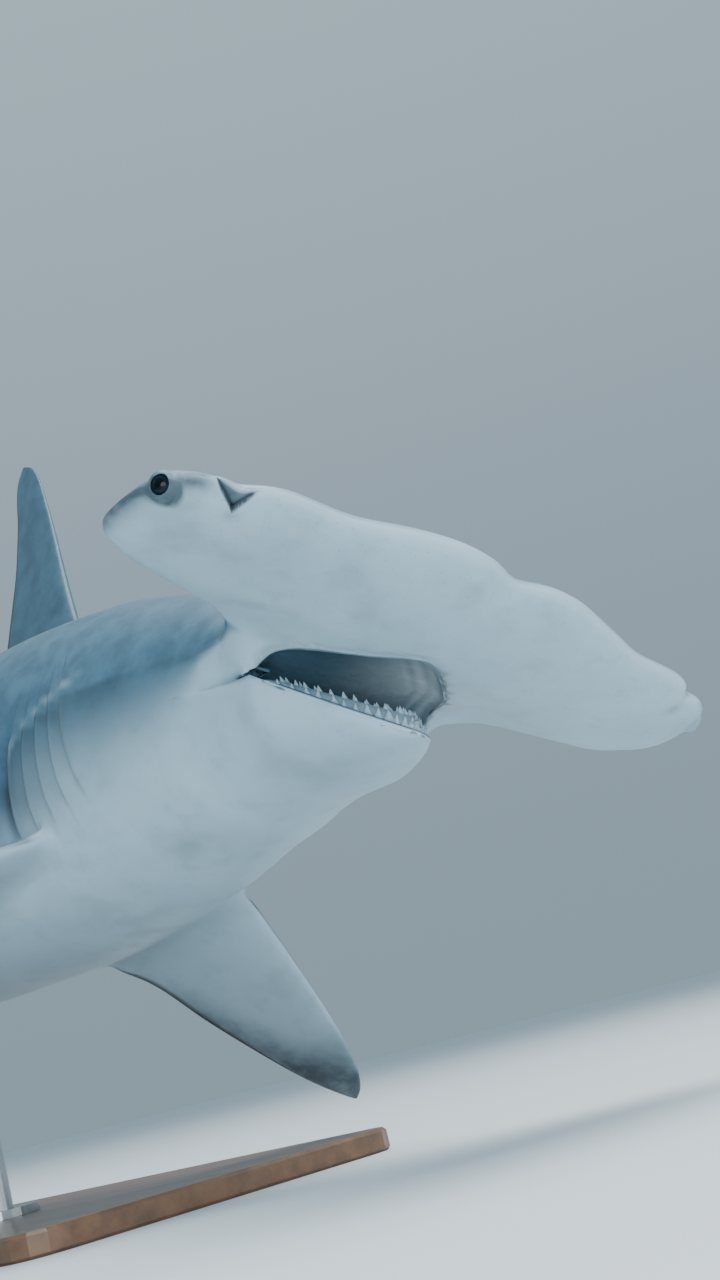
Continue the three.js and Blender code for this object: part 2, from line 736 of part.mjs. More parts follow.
// Stand
function roundedPlate({ length, width, height, corner, bevel }) {
  const [x, y] = [length / 2 - bevel, width / 2 - bevel];
  const outline = new THREE.Shape()
    .moveTo(-x + corner, -y)
    .lineTo(x - corner, -y)
    .quadraticCurveTo(x, -y, x, -y + corner)
    .lineTo(x, y - corner)
    .quadraticCurveTo(x, y, x - corner, y)
    .lineTo(-x + corner, y)
    .quadraticCurveTo(-x, y, -x, y - corner)
    .lineTo(-x, -y + corner)
    .quadraticCurveTo(-x, -y, -x + corner, -y);
  return new THREE.ExtrudeGeometry(outline, {
    depth: height - 2 * bevel,
    bevelThickness: bevel,
    bevelSize: bevel,
    bevelSegments: 1,
    curveSegments: 4,
  }).translate(0, 0, bevel);
}
function cylinder(radius, bottom, top, x, y, sides = 20) {
  return toSolid(
    new THREE.CylinderGeometry(radius, radius, top - bottom, sides)
      .rotateX(Math.PI / 2)
      .translate(x, y, (top + bottom) / 2),
  );
}
function rod(s) {
  const x = SNOUT_X - s;
  const y = sway(s) * Math.cos(BANK);
  const flange = cylinder(FLANGE_RADIUS, BASE.height + GAP, BASE.height + FLANGE_HEIGHT, x, y, 24);
  const shaft = cylinder(ROD_RADIUS, BASE.height + GAP + 2, AXIS_HEIGHT, x, y);
  return largest(flange.add(shaft).subtract(trunkClear));
}

// Everything by name
const shark = { color: "#8fa3ae", roughness: 0.45, metalness: 0 };
const pale = { color: "#c9d3d6", roughness: 0.45, metalness: 0 };
const eye = { color: "#10161a", roughness: 0.1, metalness: 0 };
const steel = { color: "#8d9194", roughness: 0.3, metalness: 1 };
const stone = { color: "#4a4d50", roughness: 0.5, metalness: 0 };
const middle = before(rightOf(leftOf(skull, -165 + GAP / 2), 165 - GAP / 2), NECK - GAP / 2);
const throat = before(behind(jawHull, JAW_REAR + GAP), NECK - GAP / 2);
const head = middle.add(throat).add(bar(upperLip, LIP_RADIUS, 17)).subtract(dome);
const jawBase = jawHull.add(bar(rimPath(2), LIP_RADIUS, 17)).subtract(bowl);
const jaw = teeth.reduce((sum, t) => sum.add(t), jawBase);
const lowerJaw = before(jaw, JAW_REAR).subtract(skullClear);
const pieces = {
  hammer_left: [hammer("left"), pale],
  hammer_right: [hammer("right"), pale],
  head: [head, pale],
  lower_jaw: [lowerJaw, pale],
  eye_left: [ball(eyeCentre("left"), EYE_RADIUS, 14, 9), eye],
  eye_right: [ball(eyeCentre("right"), EYE_RADIUS, 14, 9), eye],
  neck: [between(whole, NECK, CUTS.front), shark],
  torso_front: [between(whole, CUTS.front, CUTS.rear), shark],
  torso_rear: [between(whole, CUTS.rear, CUTS.stalk), shark],
  tail_stalk: [between(whole, CUTS.stalk, CUTS.caudal), shark],
  caudal_lobe_upper: [caudalUpperSolid, shark],
  caudal_lobe_lower: [caudalLowerSolid, shark],
  dorsal_fin_first: [clearOfBody(dorsalFirst), shark],
  dorsal_fin_second: [clearOfBody(dorsalSecond), shark],
  anal_fin: [clearOfBody(anal), shark],
  pectoral_fin_left: [clearOfBody(pectoral), pale],
  pectoral_fin_right: [clearOfBody(mirrored(pectoral)), pale],
  pelvic_fin_left: [clearOfBody(pelvic), pale],
  pelvic_fin_right: [clearOfBody(mirrored(pelvic)), pale],
  stand_base: [toSolid(roundedPlate(BASE)), stone],
  stand_rod_front: [rod(ROD_STATIONS.front), steel],
  stand_rod_rear: [rod(ROD_STATIONS.rear), steel],
};

function meshOf(name, solid, look) {
  const made = largest(solid).getMesh();
  const g = new THREE.BufferGeometry();
  g.setAttribute("position", new THREE.BufferAttribute(new Float32Array(made.vertProperties), 3));
  g.setIndex(new THREE.BufferAttribute(new Uint32Array(made.triVerts), 1));
  g.computeVertexNormals();
  const mesh = new THREE.Mesh(g, new THREE.MeshStandardMaterial(look));
  mesh.name = name;
  return mesh;
}

const group = new THREE.Group();
for (const [name, [solid, look]] of Object.entries(pieces)) {
  group.add(meshOf(name, solid, look));
}

export default group;
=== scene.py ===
# A hammerhead shark as a still, life-size display model, banked to its left over a flat base.
# The scene is in metres. The shark's own shapes are in millimetres along its body: station s is the
# distance back from the middle of the front edge, y is to its left and z is up from its axis.
import math
import random
from functools import lru_cache

import bmesh
import bpy
import numpy as np
from mathutils import Matrix, Vector


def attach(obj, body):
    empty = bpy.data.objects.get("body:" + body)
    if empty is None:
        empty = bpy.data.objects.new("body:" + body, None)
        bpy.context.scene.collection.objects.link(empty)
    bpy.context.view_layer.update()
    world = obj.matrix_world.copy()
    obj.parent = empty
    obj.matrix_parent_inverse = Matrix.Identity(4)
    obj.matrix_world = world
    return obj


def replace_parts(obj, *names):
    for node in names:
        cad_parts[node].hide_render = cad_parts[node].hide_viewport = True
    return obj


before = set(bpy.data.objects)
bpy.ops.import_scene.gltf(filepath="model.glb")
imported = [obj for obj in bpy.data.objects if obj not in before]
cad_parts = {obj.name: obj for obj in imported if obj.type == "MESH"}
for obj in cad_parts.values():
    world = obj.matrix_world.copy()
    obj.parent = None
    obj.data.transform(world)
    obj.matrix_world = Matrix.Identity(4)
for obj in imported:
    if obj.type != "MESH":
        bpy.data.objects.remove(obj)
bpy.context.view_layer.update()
FINE = 1

# Overall sizes
LENGTH = 3200
SNOUT_X = 1350
AXIS_HEIGHT = 545
BANK = math.radians(20)
SWAY_START = 1300
SWAY_AT_TAIL = 190
TAIL_RISE_START = 2200

# Body stations, and the power of its oval sections
NECK = 430
CUT_FRONT = 745
TRUNK_END = 2640
OVAL = 2.15

# Points of a mesh that are closer than this, in metres, are joined
WELD = 1e-5

# Mouth
JAW_TIP = 166
JAW_CORNER = 300
JAW_HALF_WIDTH = 126
LIP_RADIUS = 4
BOWL_FRONT = JAW_TIP + 14
BOWL_REAR = 335
DOME_FRONT = 156
DOME_REAR = 328

# Teeth and gum. Each row of teeth has its inset from the hull, the share of the gum's height at which
# it stands, its number of teeth, their scale and their lean.
TOOTH_HEIGHT = 16
TOOTH_ROOT = 5
TOOTH_ROWS = ((4.5, 0.12, 28, 0.86, 0.1), (8.5, 0.6, 29, 0.9, 0.25), (12, 0.95, 25, 0.6, 0.4))
GUM_INSET = 8.5
GUM_RADIUS = 4.6

# Gills
GILL_FIRST = 599
GILL_SPACING = 26
GILL_COUNT = 5
GILL_FLARE = 3
GILL_DEPTH = 9
GILL_EDGE = 1.6
GILL_START = GILL_FIRST - 50
GILL_LAST = GILL_FIRST + GILL_SPACING * (GILL_COUNT - 1)

# Eyes and nostrils. A side is 1 for the left and -1 for the right.
EYE_RADIUS = 13
EYE_AIM = (-6, 13, -5)
EYES = {1: (105, 373, -10), -1: (99, -381, -3)}
LID_OPENING = 11
LID_EDGE = 1.8
LID_RING = LID_OPENING + 0.6
LID_THICKNESS = 2.6
LID_LIFT = 8.1
LID_DUSK = {1: 0.2, -1: 0.85}
OPENING_DEPTH = 22
OPENING_LIFT = 18
ORBIT_LIFT = 8.5
ORBIT_RADIUS = 14.6
NOSTRIL_APEX = (80, 317)
NOSTRIL_OUTER = (50, 367)
NOSTRIL_INNER = (20, 302)
NOSTRIL_ROOF = {1: -9, -1: 5}

# Camera
CAMERA_PLACE = (2.4639, -1.3885, 0.1264)
CAMERA_RIGHT = (0.6513, 0.7193, -0.2418)
CAMERA_UP = (0.3261, 0.0223, 0.9451)
CAMERA_BACK = (0.6851, -0.6944, -0.2201)
CAMERA_LENS = 50.29

# Studio
HORIZON_TONE = "#8fa3b0"
ZENITH_TONE = "#bfd5e3"


def clamp(x, low, high):
    return min(high, max(low, x))


def smooth(a, b, x):
    t = clamp((x - a) / (b - a), 0, 1)
    return t * t * (3 - 2 * t)


def bump(x, middle, width):
    return math.exp(-(((x - middle) / width) ** 2))


def curve(*stations):
    """A smooth curve through stations (place, value) that never swings past them."""
    xs, ys = zip(*stations)
    n = len(xs)
    h = [b - a for a, b in zip(xs, xs[1:])]
    d = [(b - a) / w for a, b, w in zip(ys, ys[1:], h)]

    def end(h0, h1, d0, d1):
        m = ((2 * h0 + h1) * d0 - h0 * d1) / (h0 + h1)
        if m * d0 <= 0:
            return 0
        return 3 * d0 if d0 * d1 <= 0 and abs(m) > 3 * abs(d0) else m

    def slope(i):
        if i == 0:
            return end(h[0], h[1], d[0], d[1])
        if i == n - 1:
            return end(h[-1], h[-2], d[-1], d[-2])
        if d[i - 1] * d[i] <= 0:
            return 0
        a, b = 2 * h[i] + h[i - 1], h[i] + 2 * h[i - 1]
        return (a + b) / (a / d[i - 1] + b / d[i])

    slopes = [slope(i) for i in range(n)]

    @lru_cache(maxsize=4096)
    def at(x):
        v = clamp(x, xs[0], xs[-1])
        i = 0
        while i < n - 2 and v > xs[i + 1]:
            i += 1
        t = (v - xs[i]) / h[i]
        t2, t3 = t * t, t * t * t
        return (
            (2 * t3 - 3 * t2 + 1) * ys[i]
            + (t3 - 2 * t2 + t) * h[i] * slopes[i]
            + (3 * t2 - 2 * t3) * ys[i + 1]
            + (t3 - t2) * h[i] * slopes[i + 1]
        )

    return at


# Trunk profile by station
back = curve(
    (300, 92), (430, 138), (620, 200), (860, 230), (1150, 240), (1520, 200), (1920, 132),
    (2200, 80), (2330, 62), (2460, 40), (2640, 12),
)
belly = curve(
    (300, -118), (430, -154), (510, -167), (620, -196), (860, -224), (1150, -224), (1520, -190),
    (1920, -124), (2200, -74), (2330, -60), (2460, -38), (2640, -10),
)
half_width = curve(
    (300, 126), (430, 150), (620, 178), (860, 196), (1150, 194), (1520, 158), (1920, 104),
    (2200, 62), (2330, 46), (2460, 24), (2640, 6),
)

# Hammer outline from the front edge (0) to the neck (1)
half_span = curve(
    (0, 352), (0.03, 378), (0.08, 393), (0.16, 395), (0.24, 390), (0.32, 372), (0.42, 332),
    (0.52, 266), (0.6, 210), (0.7, 168), (0.82, 144), (1, 150),
)
side_station = curve(
    (0, 60), (0.03, 76), (0.08, 102), (0.16, 146), (0.24, 188), (0.32, 222), (0.42, 245),
    (0.52, 260), (0.6, 272), (0.7, 298), (0.82, 344), (1, 430),
)
wing_thickness = curve(
    (0, 0), (0.0004, 1.6), (0.0015, 2.9), (0.006, 5.5), (0.02, 10), (0.06, 17), (0.14, 23),
    (0.26, 26), (0.38, 26), (0.5, 20), (0.6, 14), (0.75, 9), (1, 0),
)
crown = curve((0, 0), (0.05, 3), (0.15, 10), (0.3, 24), (0.5, 48), (0.7, 70), (1, 138))
palate_depth = curve(
    (0, 0), (0.05, 3), (0.12, 7), (0.22, 12), (0.32, 15), (0.42, 18), (0.55, 28), (0.7, 50), (1, 158),
)
bump_width = curve((0, 230), (0.3, 190), (0.5, 165), (0.7, 150), (0.85, 140), (1, 150))
skull_underside = curve((300, 60), (380, 90), (430, 154))


def oval(c):
    """Height of the body's section from its middle (c = 0) to its side (c = 1)."""
    return max(0, 1 - abs(c) ** OVAL) ** (1 / OVAL)


def tail_rise(s):
    return 75 * (max(0, s - TAIL_RISE_START) / 260) ** 1.7


def sway(s):
    return SWAY_AT_TAIL * (max(0, s - SWAY_START) / (LENGTH - SWAY_START)) ** 2


def place(point):
    """From the shark's stations to the scene."""
    s, y, z = point
    across = y + sway(s)
    return Vector((
        SNOUT_X - s,
        across * math.cos(BANK) + z * math.sin(BANK),
        AXIS_HEIGHT + z * math.cos(BANK) - across * math.sin(BANK),
    )) / 1000


def stations_of(point):
    """From the scene back to the shark's stations."""
    x, y, z = point[0] * 1000, point[1] * 1000, point[2] * 1000 - AXIS_HEIGHT
    s = SNOUT_X - x
    return s, y * math.cos(BANK) - z * math.sin(BANK) - sway(s), y * math.sin(BANK) + z * math.cos(BANK)


def front_edge(y):
    """Notches and lobes of the front edge: middle notch, side dents and nostril corners."""
    a = abs(y)
    return (
        16 * bump(a, 0, 30)
        + 8 * bump(a, 205, 40)
        + 8 * bump(a, 322, 14)
        - 5 * bump(a, 285, 30)
        - 5 * bump(a, 85, 38)
        - 4 * bump(y, -130, 45)
    )


def head_point(t, c, face):
    """A point of the head: t from front edge to neck, c from right to left, face up or down.

    The left wing lies a little back and lower than the right, as the head is turned in this pose.
    """
    a = abs(c)
    span = half_span(t)
    middle = NECK * t
    y = span * c * (1 - 0.022 * smooth(0.7, 1, c) * (1 - smooth(0.25, 0.45, t)))
    rear = smooth(0.18, 0.38, t) * (1 - smooth(0.62, 0.85, t))
    lag = (5 + 11 * rear) * smooth(0, 0.5, c) if c > 0 else -9 * rear * smooth(0.2, 0.9, -c)
    swept = (side_station(t) - middle) * a**1.8 + lag * (1 - smooth(0.85, 1, t))
    s = middle + swept + front_edge(y) * (1 - smooth(0, 0.25, t))
    eye_at, eye_out, _ = EYES[1 if c > 0 else -1]
    bluntness = 3.2 + 4.6 * bump(s, eye_at, 36)
    rounded = max(0, 1 - a**bluntness) ** (1 / 2.1)
    hump = max(0, 1 - (y / min(bump_width(t), span)) ** 2) ** 1.6
    eye_swell = 8 * bump(s, eye_at, 40) * bump(y, eye_out, 40)
    web = 20 * smooth(0.3, 0.7, c) * bump(t, 0.7, 0.1) if face < 0 else 0
    cheek = 17 * bump(s, 306, 20) * bump(abs(y), 124, 15) if face < 0 else 0
    wing = (wing_thickness(t) + eye_swell + web) * rounded
    droop = 7 * smooth(0, 0.5, c) * (1 - smooth(0.3, 0.44, t))
    droop += 11 * smooth(0.7, 1, c) * bump(t, 0.19, 0.09)
    k = smooth(0.55, 1, t)
    far = max(middle, 300)
    if face > 0:
        z = (1 - k) * (wing + crown(t) * hump) + k * back(far) * oval(c)
    else:
        z = -(1 - k) * (wing + palate_depth(t) * hump) - k * skull_underside(far) * oval(c)
    return s, y, z - droop - cheek


def gill_warp(s, z):
    """How far a slit's line leans back at a height, the first most."""
    lean = 0.2 - 0.27 * clamp((s - GILL_FIRST) / (GILL_LAST - GILL_FIRST), -0.3, 1.3)
    return lean * (z + 35) * smooth(540, 590, s) * (1 - smooth(715, 742, s))


def gill_relief(s):
    """How far the skin stands out as a flap, or sinks into a slit."""
    if s <= GILL_FIRST:
        return GILL_FLARE * smooth(GILL_FIRST - 48, GILL_FIRST, s)
    if s >= GILL_LAST + GILL_EDGE:
        return -GILL_DEPTH * (1 - smooth(GILL_LAST + GILL_EDGE, GILL_LAST + 38, s))
    since = (s - GILL_FIRST) % GILL_SPACING
    drop = GILL_FLARE + GILL_DEPTH
    if since < GILL_EDGE:
        return GILL_FLARE - drop * since / GILL_EDGE
    return drop * ((since - GILL_EDGE) / (GILL_SPACING - GILL_EDGE)) ** 0.7 - GILL_DEPTH


def gill_window(s, z):
    """1 where the slits lie on the flank, fading to 0 above and below."""
    top = 55 - 0.62 * (s - GILL_FIRST)
    foot = -84 - 0.34 * (s - GILL_FIRST)
    return smooth(foot - 26, foot + 6, z) * (1 - smooth(top - 12, top + 14, z))


def trunk_point(s, c, face):
    """A point of the trunk: station, c from right to left, face up or down."""
    depth = back if face > 0 else belly
    level = depth(s) * oval(c)
    at = s + gill_warp(s, level) * min(1, 2 * abs(c))
    out = math.copysign(1, c) * gill_relief(s) * gill_window(s, level)
    return at, half_width(at) * c + out, depth(at) * oval(c) + tail_rise(s)


# Lower jaw
jaw_keel = curve((JAW_TIP, -124), (200, -128), (260, -133), (340, -143), (NECK, -153))
jaw_rim = curve((JAW_TIP, -120), (176, -115), (195, -105), (225, -89), (255, -72), (JAW_CORNER, -46))


def jaw_width(s):
    return JAW_HALF_WIDTH * clamp((s - JAW_TIP) / (JAW_CORNER - JAW_TIP), 0, 1) ** 0.72


def jaw_point(u, c, face):
    """A point of the lower jaw: u from its tip to the neck, c from right to left, face up or down."""
    s = JAW_TIP + (NECK - JAW_TIP) * u**1.5
    k = smooth(JAW_CORNER - 20, NECK, s)
    width = (1 - k) * jaw_width(s) + k * (half_width(s) - 3)
    rim = jaw_rim(s)
    hull = rim + (jaw_keel(s) - rim) * math.sqrt(max(0, 1 - c * c))
    throat = (belly(s) + 1) * oval(c)
    if face > 0:
        return s, width * c, (1 - k) * rim - k * 40
    return s, width * c, (1 - k) * hull + k * min(throat, -40)


@lru_cache(maxsize=None)
def underside(s, y):
    """Height of the skull's underside at a station and side distance."""
    low, high = 0, 1
    for _ in range(24):
        t = (low + high) / 2
        if head_point(t, clamp(y / half_span(t), -1, 1), -1)[0] < s:
            low = t
        else:
            high = t
    return head_point(low, clamp(y / half_span(low), -1, 1), -1)[2]


# The upper lip's stations by side distance, and its half widths by station
LIP = ((0, 150), (20, 157), (35, 167), (55, 184), (80, 207), (100, 230), (113, 262), (122, 302))
LIP_END = LIP[-1][0]
lip_station = curve(*LIP)
lip_width = curve(*[(station, width) for width, station in LIP])


def upper_lip(u):
    """A point of the upper lip, from the right corner to the left."""
    q = 2 * u - 1
    y = LIP_END * math.copysign(1, q) * (1 - (1 - abs(q)) ** 1.5)
    s = lip_station(abs(y))
    return s, y, underside(s, y) + 1.2


def rim_path(inset, drop=1):
    """The lower jaw's rim from corner to corner, set in from the hull's side."""

    def at(u):
        q = 2 * u - 1
        s = JAW_TIP + (JAW_CORNER - JAW_TIP - 4) * abs(q) ** 1.7 + inset * (1 - abs(q)) ** 0.5
        y = max(0, jaw_width(s - inset) - inset * abs(q) ** 0.4)
        return s, math.copysign(y, q), jaw_rim(s) - drop

    return at


def column_even(v):
    """Columns spread almost evenly from right to left."""
    q = 2 * v - 1
    return 0.25 * q + 0.75 * math.sin(math.pi * q / 2)


def column_round(v):
    """Columns spread as round a circle, closer together at the sides."""
    return math.sin(math.pi * (2 * v - 1) / 2)


def piece(name, bm, *materials):
    """A finished object from a mesh in the making."""
    bmesh.ops.recalc_face_normals(bm, faces=bm.faces)
    for face in bm.faces:
        face.smooth = True
    mesh = bpy.data.meshes.new(name)
    bm.to_mesh(mesh)
    bm.free()
    for material in materials:
        mesh.materials.append(material)
    made = bpy.data.objects.new(name, mesh)
    bpy.context.scene.collection.objects.link(made)
    return made


def tube(rows, columns, at):
    """A closed form from a grid: rows along it, columns over its upper and again over its lower face."""
    bm = bmesh.new()
    bmesh.ops.create_grid(bm, x_segments=rows, y_segments=2 * columns, size=1)
    for vert in bm.verts:
        u = (vert.co.x + 1) / 2
        around = vert.co.y + 1
        upper = around <= 1 + WELD
        vert.co = place(at(u, clamp(around if upper else 2 - around, 0, 1), 1 if upper else -1))
    bmesh.ops.remove_doubles(bm, verts=bm.verts, dist=WELD)
    bmesh.ops.dissolve_degenerate(bm, dist=1e-6, edges=bm.edges)
    bmesh.ops.holes_fill(bm, edges=[e for e in bm.edges if e.is_boundary], sides=0)
    return bm


def bar(path, radius, steps, sides=12, tall=lambda u: 1):
    """A bar along a path, round or tall in section, thinned to nothing at both ends."""
    bm = bmesh.new()
    bmesh.ops.create_grid(bm, x_segments=steps, y_segments=sides, size=1)
    for vert in bm.verts:
        u = (vert.co.x + 1) / 2
        angle = math.pi * (vert.co.y + 1)
        along = Vector(path(min(1, u + 0.01))) - Vector(path(max(0, u - 0.01)))
        across = Vector((0, 0, 1)).cross(along).normalized()
        up = along.normalized().cross(across)
        r = radius * (1 - abs(2 * u - 1) ** 6) ** 0.5
        vert.co = place(Vector(path(u)) + r * (across * math.cos(angle) + up * math.sin(angle) * tall(u)))
    bmesh.ops.remove_doubles(bm, verts=bm.verts, dist=WELD)
    return bm


def combine(base, tool, operation):
    """Join the base with the tool, or cut it by the tool, which is used up."""
    change = base.modifiers.new("combine", "BOOLEAN")
    change.operation = operation
    change.solver = "MANIFOLD"
    change.object = tool
    with bpy.context.temp_override(object=base, active_object=base, selected_objects=[base]):
        bpy.ops.object.modifier_apply(modifier=change.name)
    bpy.data.objects.remove(tool)


# Shader maths


class Value:
    """A socket in a shader, so that sums on it read as plain maths."""

    def __init__(self, finish, socket):
        self.finish = finish
        self.socket = socket

    def _with(self, operation, first, second):
        return self.finish.node("Math", {"operation": operation}, {0: first, 1: second})

    def __add__(self, other):
        return self._with("ADD", self, other)

    __radd__ = __add__

    def __sub__(self, other):
        return self._with("SUBTRACT", self, other)

    def __rsub__(self, other):
        return self._with("SUBTRACT", other, self)

    def __mul__(self, other):
        return self._with("MULTIPLY", self, other)

    __rmul__ = __mul__

    def clipped(self):
        """Kept from 0 to 1."""
        return self._with("MINIMUM", self._with("MAXIMUM", self, 0.0), 1.0)

    def above(self, low, high):
        """0 below low, 1 above high, and smooth between."""
        return self.finish.node(
            "MapRange",
            {"interpolation_type": "SMOOTHSTEP"},
            {"Value": self, "From Min": low, "From Max": high},
        )


class Finish:
    """The shader of a material or of the world, in the making."""

    def __init__(self, owner):
        self.owner = owner
        owner.use_nodes = True
        self.tree = owner.node_tree
        self.tree.nodes.clear()
        self.where = self.node("TexCoord", output="Object")

    def node(self, kind, settings=None, inputs=None, output=0):
        made = self.tree.nodes.new("ShaderNode" + kind)
        for key, value in (settings or {}).items():
            if key == "stops":
                ramp = made.color_ramp
                while len(ramp.elements) < len(value):
                    ramp.elements.new(0.5)
                for element, (position, colour) in zip(ramp.elements, value):
                    element.position = position
                    element.color = colour
            else:
                setattr(made, key, value)
        for key, value in (inputs or {}).items():
            if isinstance(value, Value):
                self.tree.links.new(value.socket, made.inputs[key])
            else:
                made.inputs[key].default_value = value
        return None if output is None else Value(self, made.outputs[output])

    def attribute(self, name):
        return self.node("Attribute", {"attribute_name": name}, output="Fac")

    def stretched(self, scale):
        return self.node("Mapping", inputs={"Vector": self.where, "Scale": scale})

    def noise(self, scale, detail=4, roughness=0.55, where=None):
        inputs = {"Vector": where or self.where, "Scale": scale, "Detail": detail, "Roughness": roughness}
        return self.node("TexNoise", inputs=inputs)

    def mix(self, factor, first, second):
        return self.node("Mix", {"data_type": "RGBA"}, {0: factor, 6: first, 7: second}, output=2)

    def bumps(self, height, distance, strength=1.0, normal=None):
        inputs = {"Height": height, "Distance": distance, "Strength": strength}
        if normal:
            inputs["Normal"] = normal
        return self.node("Bump", inputs=inputs)

    def done(self, **inputs):
        shader = self.node(
            "BsdfPrincipled", inputs={key.replace("_", " "): value for key, value in inputs.items()}
        )
        self.node("OutputMaterial", inputs={"Surface": shader}, output=None)
        return self.owner


def tone(code):
    """A colour from its six-digit code, as the shader wants it."""
    parts = [int(code[i : i + 2], 16) / 255 for i in (1, 3, 5)]
    return (*[p / 12.92 if p <= 0.04045 else ((p + 0.055) / 1.055) ** 2.4 for p in parts], 1)


def skin_finish():
    f = Finish(bpy.data.materials.new("shark_skin"))
    grey = f.attribute("pigment")
    dusk = f.attribute("dusk")
    dark = f.attribute("dark")
    light = f.attribute("light")
    cloud = f.noise(5, detail=5)
    mottle = f.noise(28, detail=6, roughness=0.6)
    grain = f.noise(420, detail=2)
    pale = f.mix(((cloud - 0.35) * 2.2).clipped(), tone("#97b3c1"), tone("#a9c3cf"))
    pale = f.mix(mottle.above(0.48, 0.75) * 0.45, pale, tone("#86a0ad"))
    smudge = f.noise(13, detail=3, roughness=0.5)
    pale = f.mix(smudge.above(0.53, 0.72) * 0.4, pale, tone("#8499a3"))
    top = f.mix(mottle.above(0.3, 0.7), tone("#2d5165"), tone("#3d657a"))
    # Grey over pale; below the flank's line the grey's long fade is partly painted shade
    colour = f.mix((grey + (mottle - 0.5) * 0.25 * grey * (1 - grey) * 4).clipped(), pale, top)
    # Dusky colour on the fins, eyes and the hammer's ends, and painted shade in the nostrils and along
    # the upper lip
    colour = f.mix((dusk * (0.3 + 1.4 * mottle)).clipped(), colour, tone("#3e525d"))
    pores = f.node("TexVoronoi", inputs={"Vector": f.where, "Scale": 130}, output="Distance")
    pits = (1 - pores.above(0.06, 0.16)) * f.attribute("pores")
    colour = f.mix(pits * 0.5, colour, tone("#70828c"))
    # Painted highlights on the gills' crest, the gill flaps' edges and the hammer's front edge
    colour = f.mix(light, colour, tone("#a9c0ca"))
    # Painted shade below the flank's line, in folds, gill slits, nostrils and the mouth's corners
    colour = f.mix(dark, colour, tone("#16242c"))
    relief = cloud * 0.5 + mottle * 0.25 - pits * 0.12
    soft = f.bumps(relief, 0.004, 0.6)
    fine = f.bumps(grain, 0.0004, 0.35, soft)
    return f.done(
        Base_Color=colour,
        Roughness=0.42 + 0.12 * mottle + 0.06 * grain,
        Normal=fine,
        Coat_Weight=0.12,
        Coat_Roughness=0.3,
        Specular_IOR_Level=0.45,
    )


def lining_finish():
    f = Finish(bpy.data.materials.new("mouth_lining"))
    fold = f.noise(60, detail=5)
    deep = f.attribute("deep")
    colour = f.mix(fold, tone("#9aabb3"), tone("#b3c0c5"))
    # Painted shade inside the mouth, lighter on the palate's far side
    colour = f.mix(deep, colour, tone("#34505f"))
    return f.done(
        Base_Color=colour,
        Roughness=0.4 + 0.15 * fold + 0.35 * deep,
        Normal=f.bumps(fold, 0.003, 0.8),
        Coat_Weight=0.2 * (1 - deep),
        Coat_Roughness=0.25,
        Specular_IOR_Level=0.3,
    )


def tooth_finish():
    f = Finish(bpy.data.materials.new("tooth_enamel"))
    cloud = f.noise(90, detail=3)
    root = f.attribute("root")
    colour = f.mix(cloud, tone("#879da8"), tone("#9fb2ba"))
    colour = f.mix(root, colour, tone("#6f828b"))
    return f.done(Base_Color=colour, Roughness=0.22 + 0.1 * cloud, Coat_Weight=0.4, Coat_Roughness=0.1)


def gum_finish():
    f = Finish(bpy.data.materials.new("gum"))
    cloud = f.noise(120, detail=4)
    colour = f.mix(cloud, tone("#4f6877"), tone("#7b909c"))
    return f.done(
        Base_Color=colour,
        Roughness=0.35 + 0.1 * cloud,
        Normal=f.bumps(cloud, 0.002, 0.8),
        Coat_Weight=0.3,
    )


def eye_finish():
    f = Finish(bpy.data.materials.new("eye"))
    off = f.attribute("off_axis")
    streak = f.noise(220, detail=4)
    iris = f.mix(streak, tone("#04131d"), tone("#0a2230"))
    colour = f.mix(off.above(0.4, 0.55), tone("#020a11"), iris)
    colour = f.mix(off.above(0.85, 1.0), colour, tone("#040f17"))
    return f.done(Base_Color=colour, Roughness=0.1 + 0.05 * streak, Specular_IOR_Level=0.16)


def board_finish():
    f = Finish(bpy.data.materials.new("base_board"))
    rings = f.noise(3, detail=6, roughness=0.6, where=f.stretched((0.5, 9.0, 9.0))).above(0.3, 0.7)
    pore = f.noise(60, detail=5, where=f.stretched((0.6, 14.0, 14.0)))
    colour = f.mix(rings * 0.8 + pore * 0.2, tone("#4f3826"), tone("#74543a"))
    colour = f.mix(pore.above(0.55, 0.8) * 0.5, colour, tone("#3c2819"))
    return f.done(
        Base_Color=colour,
        Roughness=0.34 + 0.16 * pore,
        Normal=f.bumps(pore, 0.0006, 0.4),
        Coat_Weight=0.25,
        Coat_Roughness=0.2,
    )


def steel_finish():
    f = Finish(bpy.data.materials.new("rod_steel"))
    brushed = f.noise(30, detail=4, where=f.stretched((9.0, 9.0, 0.4)))
    colour = f.mix(brushed, tone("#9aa0a4"), tone("#b9bdc0"))
    return f.done(
        Base_Color=colour,
        Metallic=1.0,
        Roughness=0.24 + 0.16 * brushed,
        Normal=f.bumps(brushed, 0.0002, 0.3),
    )


skin = skin_finish()
lining = lining_finish()
enamel = tooth_finish()
gum = gum_finish()
iris = eye_finish()
board = board_finish()
steel = steel_finish()


# Body


def rows_along(start, length, count):
    """Stations spread evenly over a length from a start, without the start itself."""
    return [start + length * (i + 1) / count for i in range(count)]


